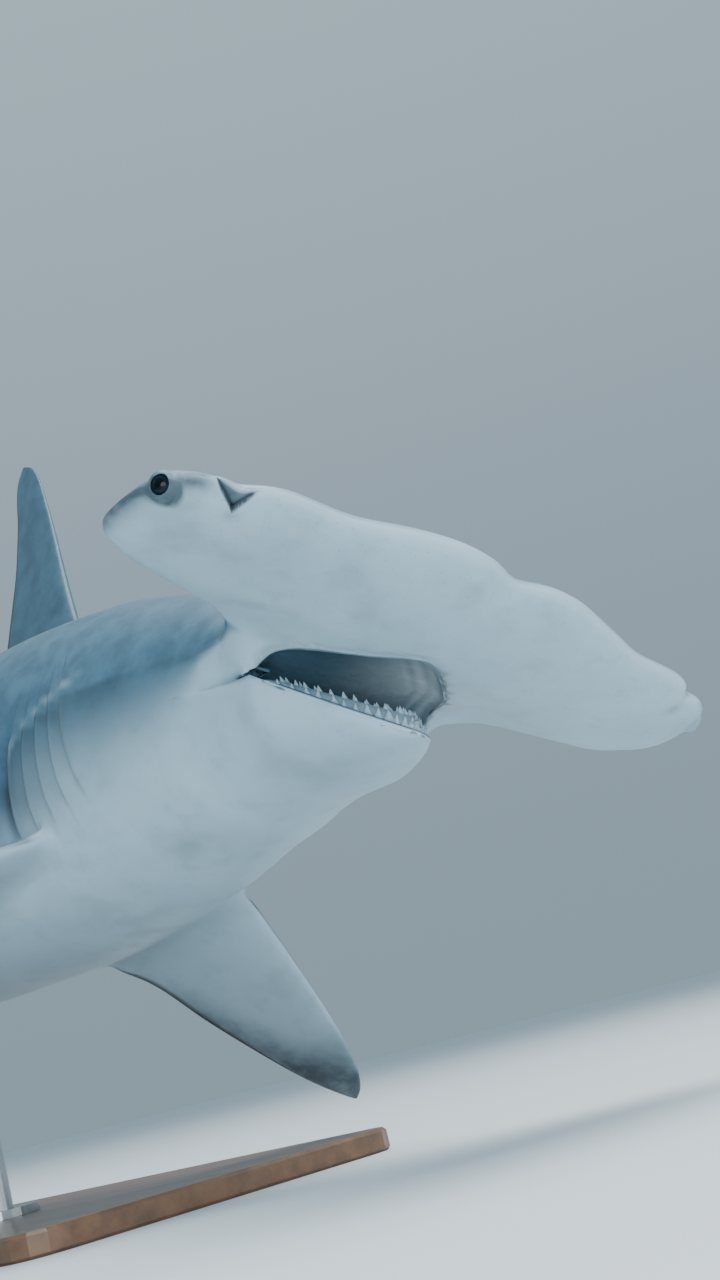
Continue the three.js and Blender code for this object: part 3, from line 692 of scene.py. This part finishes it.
def body():
    """Head and trunk in one skin, with the gill flaps in its rows."""
    head_rows = round(92 * FINE)
    steps = max(4, round(11 * FINE))
    stations = rows_along(NECK, GILL_START - NECK, 16)
    stations += rows_along(GILL_START, GILL_FIRST - GILL_START, 12)
    for k in range(GILL_COUNT):
        edge = GILL_FIRST + GILL_SPACING * k
        reach = GILL_SPACING if k < GILL_COUNT - 1 else CUT_FRONT - edge
        stations += [edge + GILL_EDGE / 2, edge + GILL_EDGE]
        stations += rows_along(edge + GILL_EDGE, reach - GILL_EDGE, steps)
    stations += rows_along(CUT_FRONT, TRUNK_END - CUT_FRONT, round(110 * FINE))
    rows = head_rows + len(stations)

    def at(u, v, face):
        i = round(u * rows)
        if i > head_rows:
            return trunk_point(stations[i - head_rows - 1], column_round(v), face)
        t = (i / head_rows) ** 1.6
        k = smooth(0.6, 1, t)
        return head_point(t, (1 - k) * column_even(v) + k * column_round(v), face)

    return piece("shark_skin", tube(rows, round(72 * FINE), at), skin, lining)


# Fins


def fin(shape, rows, columns):
    """A fin from its plan, fullest behind its leading edge, with a thin rounded rim."""
    chord, span, root = Vector(shape["chord"]), Vector(shape["span"]), Vector(shape["root"])
    normal = chord.cross(span).normalized()
    begin, reach = shape["from"], shape["to"] - shape["from"]

    def at(u, v, face):
        w = begin + reach * (1 - (1 - u) ** 1.5)
        x = 1 - math.cos(math.pi * v / 2) ** 1.15 if v < 1 else 1
        c = shape["lead"](w) + (shape["trail"](w) - shape["lead"](w)) * x
        foil = 2.6 * (math.sqrt(x) - x) * (1 - 0.25 * x)
        rim = 0.45 * min(1, 6 * v) ** 0.5 * min(1, 6 * (1 - v)) ** 0.5
        half = face * (shape["thick"](w) * foil * 1.45 + rim)
        return root + chord * c + span * w + normal * half

    return piece("fin", tube(rows, columns, at), skin, lining)


def mirrored(shape):
    flipped = dict(shape)
    for key in ("root", "chord", "span"):
        a, b, c = shape[key]
        flipped[key] = (a, -b, c)
    return flipped


def taper(root_half, tip_half, span, flare):
    """Half thickness along the span, with a flare where the fin leaves the body."""
    return lambda w: (
        root_half + (tip_half - root_half) * clamp(w / span, 0, 1) ** 0.8 + flare * bump(w, 0, 16)
    )


def plan(lead, trail, thick, root=(0, 0, 0), chord=(1, 0, 0), span=(0, 0, 1)):
    """A fin's frame, with its edges and half thickness by distance along its span."""
    return {
        "root": root, "chord": chord, "span": span, "from": lead[0][0], "to": lead[-1][0],
        "lead": curve(*lead), "trail": curve(*trail), "thick": thick,
    }


PECTORAL = plan(
    root=(656, 138, -135),
    chord=(0.976, -0.1, -0.193),
    span=(0.013, 0.914, -0.406),
    lead=(
        (-60, -14), (0, 0), (75, 22), (152, 45), (276, 87), (323, 107), (364, 131), (386, 151),
        (396, 167),
    ),
    trail=(
        (-60, 225), (-20, 250), (2, 290), (14, 290), (40, 258), (84, 243), (156, 236), (239, 222),
        (321, 203), (382, 178), (396, 169),
    ),
    thick=taper(15, 2.2, 395, 7),
)
DORSAL_FIRST = plan(
    lead=(
        (190, 836), (240, 862), (277, 886), (372, 937), (471, 986), (540, 1022), (607, 1062),
        (630, 1084), (641, 1108),
    ),
    trail=(
        (190, 1080), (250, 1082), (262, 1168), (276, 1120), (300, 1092), (416, 1092), (522, 1104),
        (612, 1122), (641, 1112),
    ),
    thick=lambda w: taper(14, 2, 400, 8)(w - 240),
)
DORSAL_SECOND = plan(
    lead=((80, 1900), (128, 1932), (160, 1958), (190, 1988), (206, 2018)),
    trail=((80, 2052), (119, 2056), (124, 2160), (133, 2098), (150, 2058), (180, 2034), (206, 2026)),
    thick=lambda w: taper(8, 1.5, 90, 5)(w - 125),
)
ANAL = plan(
    span=(0, 0, -1),
    lead=((80, 1868), (126, 1892), (160, 1922), (190, 1962), (206, 1998)),
    trail=((80, 2058), (114, 2066), (120, 2150), (130, 2092), (150, 2050), (180, 2022), (206, 2008)),
    thick=lambda w: taper(8, 1.5, 90, 5)(w - 120),
)
PELVIC = plan(
    root=(1520, 62, -172),
    chord=(0.985, -0.06, 0.075),
    span=(0.03, 0.8, -0.6),
    lead=((-50, -18), (0, 6), (50, 38), (95, 72), (122, 104)),
    trail=((-50, 140), (2, 152), (14, 222), (26, 186), (50, 158), (90, 132), (122, 112)),
    thick=taper(9, 1.5, 122, 5),
)
CAUDAL_UPPER = plan(
    root=(2290, 0, 0),
    chord=(0.45, 0, -0.893),
    span=(0.893, 0, 0.45),
    lead=((-60, -4), (0, -44), (120, -56), (400, -52), (800, -30), (940, -4), (1000, 30)),
    trail=(
        (-60, 60), (0, 80), (120, 122), (200, 138), (400, 116), (700, 78), (815, 62), (838, 34),
        (858, 70), (900, 88), (960, 72), (1000, 38),
    ),
    thick=lambda w: 24 - 20.5 * smooth(-100, 900, w),
)
CAUDAL_LOWER = plan(
    root=(2330, 0, -20),
    chord=(0.84, 0, 0.54),
    span=(0.54, 0, -0.84),
    lead=((-30, -20), (40, -34), (160, -36), (300, -20), (400, 6), (440, 34)),
    trail=((-30, 190), (40, 196), (100, 168), (200, 118), (300, 84), (400, 60), (440, 40)),
    thick=lambda w: 18 - 16 * smooth(-60, 420, w),
)


# Mouth


def closing(u):
    """Narrows a hollow at its rear end."""
    return 1 - 0.3 * smooth(0.86, 1, u)


def bowl():
    """The hollow of the lower jaw."""

    def at(u, v, face):
        s = BOWL_FRONT + (BOWL_REAR - BOWL_FRONT) * u
        depth = clamp(jaw_rim(s) - jaw_keel(s) - 12, 0, 34) * min(1, 4 * (1 - u)) ** 0.5
        side = column_round(v)
        width = max(0, jaw_width(s) - 8 + 6 * smooth(230, 285, s)) * closing(u)
        if face > 0:
            return s, width * side, max(jaw_rim(s), underside(s, width * side)) + 2
        return s, width * side, jaw_rim(s) - depth * math.sqrt(1 - side * side)

    return piece("bowl", tube(32, 32, at), lining)


def dome():
    """The palate's hollow under the skull."""

    def at(u, v, face):
        s = DOME_FRONT + (DOME_REAR - DOME_FRONT) * u
        side = column_round(v)
        width = max(0, lip_width(s - 2) - 4.5 + 4.5 * smooth(220, 280, s)) * closing(u)
        arch = (1 - abs(side) ** 3) ** 0.5 * math.sin(math.pi * min(u * 1.6 + 0.2, 0.5))
        edge = underside(s, width * side) - 1
        if face > 0:
            return s, width * side, edge + 19 * arch
        return s, width * side, min(edge, jaw_rim(s)) - 2

    return piece("dome", tube(48, 40, at), lining)


# Eyes


def eye_centre(side):
    return place(EYES[side])


def eye_axis(side):
    s, y, z = EYES[side]
    ds, dy, dz = EYE_AIM
    return (place((s + ds, y + dy * side, z + dz)) - eye_centre(side)).normalized()


def set_at_eye(bm, side, lift):
    """Turn a form from the z axis to the eye's axis, and set it out from the eye's centre."""
    turn = Vector((0, 0, 1)).rotation_difference(eye_axis(side)).to_matrix()
    bmesh.ops.rotate(bm, verts=bm.verts, cent=(0, 0, 0), matrix=turn)
    bmesh.ops.translate(bm, verts=bm.verts, vec=eye_centre(side) + eye_axis(side) * (lift / 1000))


def ball(name, side, radius, *materials):
    bm = bmesh.new()
    bmesh.ops.create_uvsphere(bm, u_segments=48, v_segments=32, radius=radius / 1000)
    bmesh.ops.translate(bm, verts=bm.verts, vec=eye_centre(side))
    return piece(name, bm, *materials)


def lid(side):
    """The rounded edge of the lid, a ring round its opening."""
    bm = bmesh.new()
    ring = bmesh.ops.create_circle(bm, segments=14, radius=LID_EDGE / 1000)["verts"]
    bmesh.ops.rotate(bm, verts=ring, cent=(0, 0, 0), matrix=Matrix.Rotation(math.pi / 2, 3, "X"))
    bmesh.ops.translate(bm, verts=ring, vec=(LID_RING / 1000, 0, 0))
    bmesh.ops.spin(
        bm, geom=bm.verts[:] + bm.edges[:], cent=(0, 0, 0), axis=(0, 0, 1), angle=2 * math.pi, steps=48,
        use_merge=True,
    )
    set_at_eye(bm, side, LID_LIFT)
    bmesh.ops.remove_doubles(bm, verts=bm.verts, dist=1e-6)
    return piece("lid", bm, skin, lining)


def eye_opening(side):
    """A round opening, a little wider outwards, in which the eye sits."""
    bm = bmesh.new()
    bmesh.ops.create_cone(
        bm, cap_ends=True, segments=48, depth=OPENING_DEPTH / 1000,
        radius1=(LID_OPENING - 1) / 1000, radius2=(LID_OPENING + 2) / 1000,
    )
    set_at_eye(bm, side, OPENING_LIFT)
    return piece("opening", bm, skin, lining)


def nostril(side):
    """The nostril's recess in the wing's underside: a corner that opens forwards."""

    def at(u, v, face):
        spot = []
        for apex, outer, inner in zip(NOSTRIL_APEX, NOSTRIL_OUTER, NOSTRIL_INNER):
            start = inner + (outer - inner) * v
            spot.append(start + (apex - start) * u)
        roof = NOSTRIL_ROOF[side] - 12 * u
        return spot[0], side * spot[1], roof if face > 0 else roof - 50 * (v * (1 - v) * 4) ** 0.01

    return piece("nostril", tube(round(28 * FINE), round(24 * FINE), at), skin, lining)


shark = body()
jaw_rows = round(44 * FINE)
jaw = tube(jaw_rows, jaw_rows, lambda u, v, face: jaw_point(u, column_round(v), face))
combine(shark, piece("jaw", jaw, skin, lining), "UNION")
FINS = (
    (PECTORAL, 64, 20), (mirrored(PECTORAL), 64, 20), (DORSAL_FIRST, 64, 20), (DORSAL_SECOND, 36, 12),
    (ANAL, 36, 12), (PELVIC, 36, 14), (mirrored(PELVIC), 36, 14),
    (CAUDAL_UPPER, 80, 20), (CAUDAL_LOWER, 60, 20),
)
for shape, rows, columns in FINS:
    combine(shark, fin(shape, round(rows * FINE), round(columns * FINE)), "UNION")
combine(shark, bowl(), "DIFFERENCE")
combine(shark, dome(), "DIFFERENCE")
combine(shark, piece("lip", bar(upper_lip, LIP_RADIUS - 1.8, 70), skin, lining), "UNION")
combine(shark, piece("lip", bar(rim_path(2), LIP_RADIUS, 70), skin, lining), "UNION")
for side in (-1, 1):
    combine(shark, nostril(side), "DIFFERENCE")
    combine(shark, ball("lids", side, EYE_RADIUS + LID_THICKNESS, skin, lining), "UNION")
    combine(shark, eye_opening(side), "DIFFERENCE")
    combine(shark, lid(side), "UNION")
    combine(shark, ball("socket", side, EYE_RADIUS + 0.2, lining), "DIFFERENCE")


def near_seams(bm):
    """Points where fins and jaw leave the body, away from mouth, gills, nostrils and lids."""
    seam = set()
    for edge in bm.edges:
        if not edge.is_manifold or edge.calc_face_angle_signed() > -0.2:
            continue
        for vert in edge.verts:
            s, y, z = stations_of(vert.co)
            in_mouth = s < 330 and abs(y) < 135
            in_gills = 560 < s < 750 and gill_window(s, z) > 0.02 and abs(y) < 192
            at_nostril = s < 95 and 290 < abs(y) < 375
            side = 1 if y > 0 else -1
            orbit = eye_centre(side) + eye_axis(side) * (ORBIT_LIFT / 1000)
            at_eye = (vert.co - orbit).length < ORBIT_RADIUS / 1000
            if not (in_mouth or in_gills or at_nostril or at_eye):
                seam.add(vert)
    return seam


def near_nostril(vert):
    s, y, _ = stations_of(vert.co)
    return 12 < s < 100 and 292 < abs(y) < 378


# One skin, finer round the nostrils and softened along its seams, most where they are nearest
bm = bmesh.new()
bm.from_mesh(shark.data)
bmesh.ops.remove_doubles(bm, verts=bm.verts, dist=4e-4)
bmesh.ops.dissolve_degenerate(bm, dist=1e-5, edges=bm.edges)
fine = [e for e in bm.edges if near_nostril(e.verts[0]) and near_nostril(e.verts[1])]
bmesh.ops.subdivide_edges(bm, edges=fine, cuts=2, use_grid_fill=True)
rings = [near_seams(bm)]
for _ in range(4):
    rings.append(rings[-1] | {e.other_vert(v) for v in rings[-1] for e in v.link_edges})
for reach in (rings[4], rings[3], rings[3], rings[2], rings[2], rings[1], rings[1], rings[0]):
    for _ in range(2):
        bmesh.ops.smooth_vert(
            bm, verts=list(reach), factor=0.5, use_axis_x=True, use_axis_y=True, use_axis_z=True
        )
for face in bm.faces:
    face.smooth = True
bm.normal_update()
bm.to_mesh(shark.data)
bm.free()


# Countershading and painted light. The flank's grey ends at a line and fades out below it, over a long
# fade that is partly painted shade. Under the line is a band of painted shade, and a painted highlight
# runs along the crest over the gills. All are heights by station, but for the shade's strength.
FLANK_LINE = (
    (250, -12), (294, -6), (335, 0), (371, -2), (414, 7), (455, 8), (505, 12), (605, 12), (640, 8),
    (672, -6), (693, -18), (705, -45), (725, -70), (770, -88), (900, -80), (1000, -66), (1500, -40),
    (2100, -25), (2300, -20),
)
FLANK_FADE = (
    (261, 5), (335, 6), (371, 16), (414, 80), (455, 105), (560, 135), (640, 150), (690, 130), (725, 75),
    (800, 40), (1000, 50), (2300, 25),
)
FLANK_SHADE = ((360, 0), (385, 0.1), (414, 0.25), (470, 0.42), (690, 0.5), (720, 0.3), (760, 0))
GILL_CREST = ((570, 36), (600, 30), (641, 20), (672, 3), (693, -9), (700, -38), (708, -57))


def by_table(s, table):
    return np.interp(s, *zip(*table))


def over(values, low, high):
    """0 below low, 1 above high, and smooth between."""
    t = np.clip((values - low) / (high - low), 0, 1)
    return t * t * (3 - 2 * t)


def spread(values, middle, width):
    """1 in the middle, fading to 0 on both sides."""
    return np.exp(-(((values - middle) / width) ** 2))


def to_segment(spots, start, end):
    """Distance of points in the plane from a straight line between two corners."""
    along = end - start
    share = np.clip((spots - start) @ along / (along @ along), 0, 1)
    return np.hypot(*(spots - start - share[:, None] * along).T)


def inward(spots, start, end, third):
    """Distance of points in the plane from a line through two corners, positive towards the third."""
    across = np.array([end[1] - start[1], start[0] - end[0]]) / np.linalg.norm(end - start)
    return (spots - start) @ across * np.sign((third - start) @ across)


def skin_height(s, y):
    """Height of the wings' underside near the nostrils, read between the points of a grid."""
    step = 7
    stations, across = np.arange(8, 113, step), np.arange(283, 396, step)
    height = np.zeros(len(s))
    for side in (-1, 1):
        grid = np.array([[underside(float(k), side * float(a)) for a in across] for k in stations])
        i = np.clip((s - stations[0]) / step, 0, len(stations) - 1.001)
        j = np.clip((side * y - across[0]) / step, 0, len(across) - 1.001)
        row, column = i.astype(int), j.astype(int)
        u, v = i - row, j - column
        near = (grid[row, column] * (1 - v) + grid[row, column + 1] * v) * (1 - u)
        near += (grid[row + 1, column] * (1 - v) + grid[row + 1, column + 1] * v) * u
        height = np.where(side * y > 0, near, height)
    return height


def into_mouth(s, across):
    """Distance of points in the plane from the upper lip, positive in the mouth."""
    widths = range(0, LIP_END + 1, 6)
    lip = [np.array([lip_station(k), k]) for k in widths]
    spots = np.stack([s, across], 1)
    away = np.min([to_segment(spots, a, b) for a, b in zip(lip, lip[1:])], axis=0)
    return away * np.sign(s - np.interp(across, widths, [k[0] for k in lip]))


def fin_frame(shape, s, y, z):
    """Distances of points along a fin's span and chord, and of its trailing edge there."""
    offset = np.stack([s, y, z], 1) - np.array(shape["root"])
    w = offset @ np.array(shape["span"])
    c = offset @ np.array(shape["chord"])
    return w, c, np.array([shape["trail"](float(k)) for k in w])


def paint(shark):
    """Store where the skin is grey, dusky, in painted shade or painted highlight, or pored, and where the
    mouth's lining is in painted shade.
    """
    mesh = shark.data
    count = len(mesh.vertices)
    co = np.empty(count * 3)
    mesh.vertices.foreach_get("co", co)
    normal = np.empty(count * 3)
    mesh.vertices.foreach_get("normal", normal)
    co, normal = co.reshape(-1, 3) * 1000, normal.reshape(-1, 3)
    s = SNOUT_X - co[:, 0]
    swing, rise = np.array([sway(k) for k in s]), np.array([tail_rise(k) for k in s])
    y = co[:, 1] * math.cos(BANK) - (co[:, 2] - AXIS_HEIGHT) * math.sin(BANK) - swing
    z = co[:, 1] * math.sin(BANK) + (co[:, 2] - AXIS_HEIGHT) * math.cos(BANK)
    up = normal[:, 1] * math.sin(BANK) + normal[:, 2] * math.cos(BANK)
    mirrored_y = np.abs(y)

    def by_station(profile):
        return np.interp(s, np.arange(0, 3300, 5), [profile(float(k)) for k in range(0, 3300, 5)])

    # Grey on top of the head, above the flank's line and on the fins
    line = by_table(s, FLANK_LINE)
    # The grey's long fade below the line is partly painted shade
    trunk = over(z - rise, line - by_table(s, FLANK_FADE), line + 4) ** 0.8
    head = over(up, 0.0, 0.35) * over(s, -10, 20)
    behind = over(s, 274, 281)
    grey = head * (1 - behind) + trunk * behind
    ring = (mirrored_y / by_station(half_width)) ** OVAL
    ring += (np.abs(z - rise) / np.where(z - rise > 0, by_station(back), -by_station(belly))) ** OVAL
    on_fin = over(ring, 1.12, 1.4) * (s > 560)
    on_pectoral = on_fin * (s < 1080) * (z < 40)
    fin_grey = np.where(on_pectoral > 0.01, over(up, -0.1, 0.3), over(up, -0.35, 0.1))
    fin_grey = np.where((z - rise > 60) | (s > TAIL_RISE_START), 1.0, fin_grey)
    grey = grey * (1 - on_fin) + fin_grey * on_fin

    # Dusk under the pectoral fins, towards the tip and the rear edge
    w, c, trail = fin_frame(PECTORAL, s, mirrored_y, z)
    tip = over(w, 230, 400)
    rear = over(c - trail, -60 - 60 * over(w, 100, 380), 8) * over(w, 20, 160)
    dusk = on_pectoral * np.clip(0.75 * tip + 0.7 * rear, 0, 1) * (1 - over(up, 0.1, 0.4))

    # Dusk below the eyes, along the hammer's ends and in a spot on the throat
    for side, spot in EYES.items():
        away = np.sqrt((s - spot[0]) ** 2 + (y - spot[1]) ** 2 + (z - spot[2]) ** 2)
        lower = 1 - over((z - spot[2]) - 0.6 * (s - spot[0]), -2, 12)
        dusk += LID_DUSK[side] * (1 - over(away, 17, 24)) * lower + 0.15 * spread(away, 18, 20)
    dusk += 0.75 * spread(z, -5, 6) * spread(mirrored_y, 368, 19) * (s < 100)
    at_end = over(s, 105, 120) * (1 - over(s, 185, 240)) * over(mirrored_y, 364, 386)
    dusk += 0.85 * spread(z, -2, 7) * at_end
    dusk += 0.2 * over(mirrored_y, 372, 396) * (s < 300)
    dusk += 0.35 * spread(s, 518, 16) * spread(y, -38, 18) * over(-z, 100, 150)

    # Painted shade below the flank's line and in a thin line along it, over the lower gills and in a fold
    # behind the mouth's corner; the first dorsal fin is a little darker
    flank = (on_fin < 0.5) * over(s, 400, 540) * (1 - over(s, 1000, 1100))
    below = line - z
    dark = by_table(s, FLANK_SHADE) * over(below, -3, 3) * np.exp(-np.maximum(0, below - 3) / 42) * flank
    dark += 0.4 * spread(below, 3, 5) * over(s, 366, 385) * (1 - over(s, 430, 480))
    dark += 0.34 * spread(z, -88, 34) * over(s, 585, 700) * (1 - over(s, 716, 745)) * flank
    dark += 0.45 * spread(z, -41, 2.2) * over(s, 314, 320) * (1 - over(s, 330, 358)) * (mirrored_y > 95)
    dark += 0.16 * on_fin * (z > 150)
    # A painted highlight along the crest over the gills
    crest = by_table(s, GILL_CREST)
    light = 0.28 * spread(z - crest, 2, 4) * over(s, 568, 600) * (1 - over(s, 690, 712))

    # The nostrils' recesses get painted shade, darkest along their two arms and round their corner
    apex, outer, inner = (np.array(p) for p in (NOSTRIL_APEX, NOSTRIL_OUTER, NOSTRIL_INNER))
    spots = np.stack([s, mirrored_y], 1)
    arms = np.minimum(to_segment(spots, apex, outer), to_segment(spots, apex, inner))
    roof = np.where(y > 0, NOSTRIL_ROOF[1], NOSTRIL_ROOF[-1])
    inside = np.minimum(inward(spots, apex, outer, inner), inward(spots, apex, inner, outer))
    depth = z - skin_height(s, y)
    recess = over(inside, -2, 0.5) * over(depth, 1, 5) * (z < roof + 2) * (up < 0.3)
    dusk += 0.8 * recess
    dark += 0.8 * spread(arms, 0, 3) * recess * over(s, 30, 56)
    dark += 0.3 * spread(np.hypot(s - apex[0] - 2, mirrored_y - apex[1]), 0, 8) * (up < 0.3)
    pores = over(0.2 - up, 0, 0.3) * (1 - over(s, 140, 330)) * 0.8

    # Painted shade in the gill slits, and painted highlights along the edges of their flaps
    for i in np.flatnonzero((s > 570) & (s < 790) & (ring < 1.3)):
        own = s[i]
        for _ in range(4):
            own = s[i] - gill_warp(own, z[i])
        window = gill_window(own, z[i])
        if window <= 0 or own < GILL_FIRST - 20:
            continue
        past_last = own > GILL_LAST + GILL_EDGE
        dark[i] += window * smooth(-3.5, -8.5, gill_relief(own)) * (0.4 if past_last else 0.5)
        edge = min(abs(own - GILL_FIRST - GILL_SPACING * k) for k in range(GILL_COUNT))
        first_or_last = min(abs(own - GILL_FIRST), abs(own - GILL_LAST)) < 6
        light[i] += window * bump(edge, 0, 2.4) * (0.3 if first_or_last else 0.08)

    # Painted shade darkens the mouth's lining, but for the palate's far side, where bands of it follow
    # the upper lip like folds
    in_mouth = (s < 345) & (s > 150) & (mirrored_y < 140)
    into = into_mouth(s, mirrored_y)
    deep = 1 - 0.95 * over(y, -75, 80) * (1 - over(s, 225, 315))
    deep = np.clip(deep + 0.16 * np.sin(into / 2.6) * over(y, -20, 30) * (into < 45), 0, 1) * in_mouth

    # Painted shade along the upper lip and at its edge, a dark crinkle on its far side, and painted shade
    # filling the mouth's corners
    on_lip = (s < 330) & (mirrored_y < 134) & (z < -8) & (z > -46) & (up < 0.2)
    dusk += 0.22 * spread(into, -7, 2.5) * on_lip * (1 - over(y, 10, 50))
    crinkle = 1.4 * np.sin(s / 3.1) + 1.1 * np.sin(y / 2.3)
    dark += 0.75 * spread(into + crinkle, -0.5, 1.6) * on_lip * over(y, -10, 45)
    dusk += 0.45 * spread(into, 0.5, 4) * on_lip
    in_corner = (s > 288) & (s < 335) & (mirrored_y < 118) & (z < -30) & (z > -60)
    dark = np.where(in_corner, 0.9, dark)

    # A painted highlight along the hammer's front edge
    sweep = np.array([head_point(0, k / 200, 1)[:2] for k in range(-196, 197)])
    order = np.argsort(sweep[:, 1])
    ahead = s - np.interp(y, sweep[order, 1], sweep[order, 0])
    light += 0.55 * spread(ahead, 0.5, 3.5) * (s < 140) * (mirrored_y < 360) * (1 - np.clip(dark, 0, 1))

    values = {
        "pigment": grey,
        "dusk": np.clip(dusk, 0, 1),
        "dark": dark,
        "light": light,
        "pores": pores,
        "deep": deep,
    }
    for name, data in values.items():
        layer = mesh.attributes.new(name, "FLOAT", "POINT")
        layer.data.foreach_set("value", np.asarray(data, dtype=np.float32))


paint(shark)
FLESH = (
    "hammer_left", "hammer_right", "head", "lower_jaw", "neck", "torso_front", "torso_rear", "tail_stalk",
    "caudal_lobe_upper", "caudal_lobe_lower", "dorsal_fin_first", "dorsal_fin_second", "anal_fin",
    "pectoral_fin_left", "pectoral_fin_right", "pelvic_fin_left", "pelvic_fin_right",
)
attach(shark, "root")
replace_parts(shark, *FLESH)


# Teeth and gums


def tooth(bm, at, along, height, width, lean, outward):
    """A slender blade on a broad root, a little bent back at its tip."""
    before = len(bm.verts)
    upright = Matrix.Translation((0, 0, 0.5))
    cone = bmesh.ops.create_cone(
        bm, cap_ends=True, segments=8, radius1=1, radius2=0.02, depth=1, matrix=upright
    )["verts"]
    edges = {e for v in cone for e in v.link_edges if abs(e.verts[0].co.z - e.verts[1].co.z) > 0.5}
    bmesh.ops.subdivide_edges(bm, edges=list(edges), cuts=5)
    bm.verts.ensure_lookup_table()
    made = bm.verts[before:]
    tip = Vector((lean, 0, 1)).normalized()
    tip = (tip + outward * 0.18).normalized()
    out = tip.cross(along).normalized()
    side = out.cross(tip)
    layer = bm.verts.layers.float["root"]
    for vert in made:
        h = vert.co.z
        ring = Vector((vert.co.x, vert.co.y)).normalized() if h < 0.99 else Vector((0, 0))
        slim = 0.78 * (1 - h) + 0.22 * math.exp(-h / 0.2) * (1 - h)
        vert[layer] = 1 - smooth(0.2, 0.45, h)
        spot = at + tip * (h * (height + TOOTH_ROOT) - TOOTH_ROOT)
        spot += side * ring.x * slim * width / 2 + out * (ring.y * slim * width * 0.24 + 1.6 * h * h)
        vert.co = place(spot)


def ridge(u):
    """How far the gum stands above the rim: low at the corners, tall at the front."""
    return 8 + 11 * (1 - abs(2 * u - 1) ** 1.5)


def teeth():
    """Three rows of teeth on the gum, smaller towards the corners."""
    bm = bmesh.new()
    bm.verts.layers.float.new("root")
    draw = random.Random(11)
    for inset, level, count, scale, lean in TOOTH_ROWS:
        path = rim_path(inset)
        for i in range(count):
            u = 0.03 + 0.94 * (i + 0.5 + draw.uniform(-0.14, 0.14)) / count
            at = Vector(path(u)) + Vector((0, 0, ridge(u) * level))
            along = (Vector(path(u + 0.01)) - Vector(path(u - 0.01))).normalized()
            rear = abs(2 * u - 1)
            outward = Vector((-1 + rear, math.copysign(rear, 2 * u - 1), 0))
            height = TOOTH_HEIGHT * scale * (1.05 - 0.55 * rear**2) * draw.uniform(0.75, 1.12)
            width = height * draw.uniform(1.4, 1.75)
            tooth(bm, at, along, height, width, lean + draw.uniform(-0.15, 0.15), outward)
    made = piece("teeth", bm, enamel)
    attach(made, "root")


def gums():
    """A soft ridge in which the teeth stand."""
    inner = rim_path(GUM_INSET)

    def path(u):
        s, y, z = inner(u)
        return s, y, z + ridge(u) / 2 - 3

    def tall(u):
        return (ridge(u) / 2 + 3) / GUM_RADIUS

    made = piece("gum", bar(path, GUM_RADIUS, 90, 18, tall), gum)
    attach(made, "root")


teeth()
gums()


# Eyes


def eye(name, side):
    made = ball(name, side, EYE_RADIUS, iris)
    axis = eye_axis(side)
    layer = made.data.attributes.new("off_axis", "FLOAT", "POINT")
    for vert, slot in zip(made.data.vertices, layer.data):
        away = (vert.co - eye_centre(side)).normalized()
        slot.value = math.acos(clamp(away.dot(axis), -1, 1))
    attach(made, "root")
    return made


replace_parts(eye("eyeball_left", 1), "eye_left")
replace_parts(eye("eyeball_right", -1), "eye_right")

# Stand
for name, finish in (("stand_base", board), ("stand_rod_front", steel), ("stand_rod_rear", steel)):
    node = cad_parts[name]
    node.data.materials.clear()
    node.data.materials.append(finish)


# Floor, light and camera


def floor():
    f = Finish(bpy.data.materials.new("studio_floor"))
    tint = f.noise(1.5, detail=3)
    material = f.done(Base_Color=f.mix(tint, tone("#c3ccd2"), tone("#c8d1d6")), Roughness=0.75)
    bm = bmesh.new()
    bmesh.ops.create_circle(bm, cap_ends=True, segments=96, radius=40)
    made = piece("floor", bm, material)


def area_light(name, spot, target, size, power, colour):
    data = bpy.data.lights.new(name, "AREA")
    data.shape = "DISK"
    data.size = size
    data.energy = power
    data.color = colour
    lamp = bpy.data.objects.new(name, data)
    lamp.location = spot
    lamp.rotation_mode = "QUATERNION"
    lamp.rotation_quaternion = (Vector(target) - Vector(spot)).to_track_quat("-Z", "Y")
    bpy.context.scene.collection.objects.link(lamp)


def studio_world():
    """Soft light all round, brighter overhead; at the horizon it has the tone of the far floor."""
    world = bpy.data.worlds.new("studio")
    f = Finish(world)
    height = f.node("SeparateXYZ", inputs={0: f.node("TexCoord", output="Generated")}, output=2)
    shade = f.mix(height.above(0.0, 0.9), tone(HORIZON_TONE), tone(ZENITH_TONE))
    light = f.node("Background", inputs={"Color": shade, "Strength": 1.0})
    f.node("OutputWorld", inputs={"Surface": light}, output=None)
    bpy.context.scene.world = world


floor()
studio_world()
area_light("top_light", (1.5, 0.8, 7.0), (0.4, 0, 0.6), 5.5, 720, (1.0, 0.98, 0.95))
area_light("front_light", (4.2, 0.6, 1.6), (0.9, 0, 0.5), 2.6, 60, (0.96, 0.98, 1.0))
area_light("low_light", (3.0, -2.6, 0.5), (0.9, 0, 0.5), 2.2, 80, (0.93, 0.97, 1.0))
camera_data = bpy.data.cameras.new("camera")
camera_data.lens = CAMERA_LENS
camera_data.sensor_width = 36
camera_data.clip_end = 200
camera = bpy.data.objects.new("camera", camera_data)
turn = Matrix((CAMERA_RIGHT, CAMERA_UP, CAMERA_BACK)).transposed().to_4x4()
camera.matrix_world = Matrix.Translation(CAMERA_PLACE) @ turn
bpy.context.scene.collection.objects.link(camera)
bpy.context.scene.camera = camera
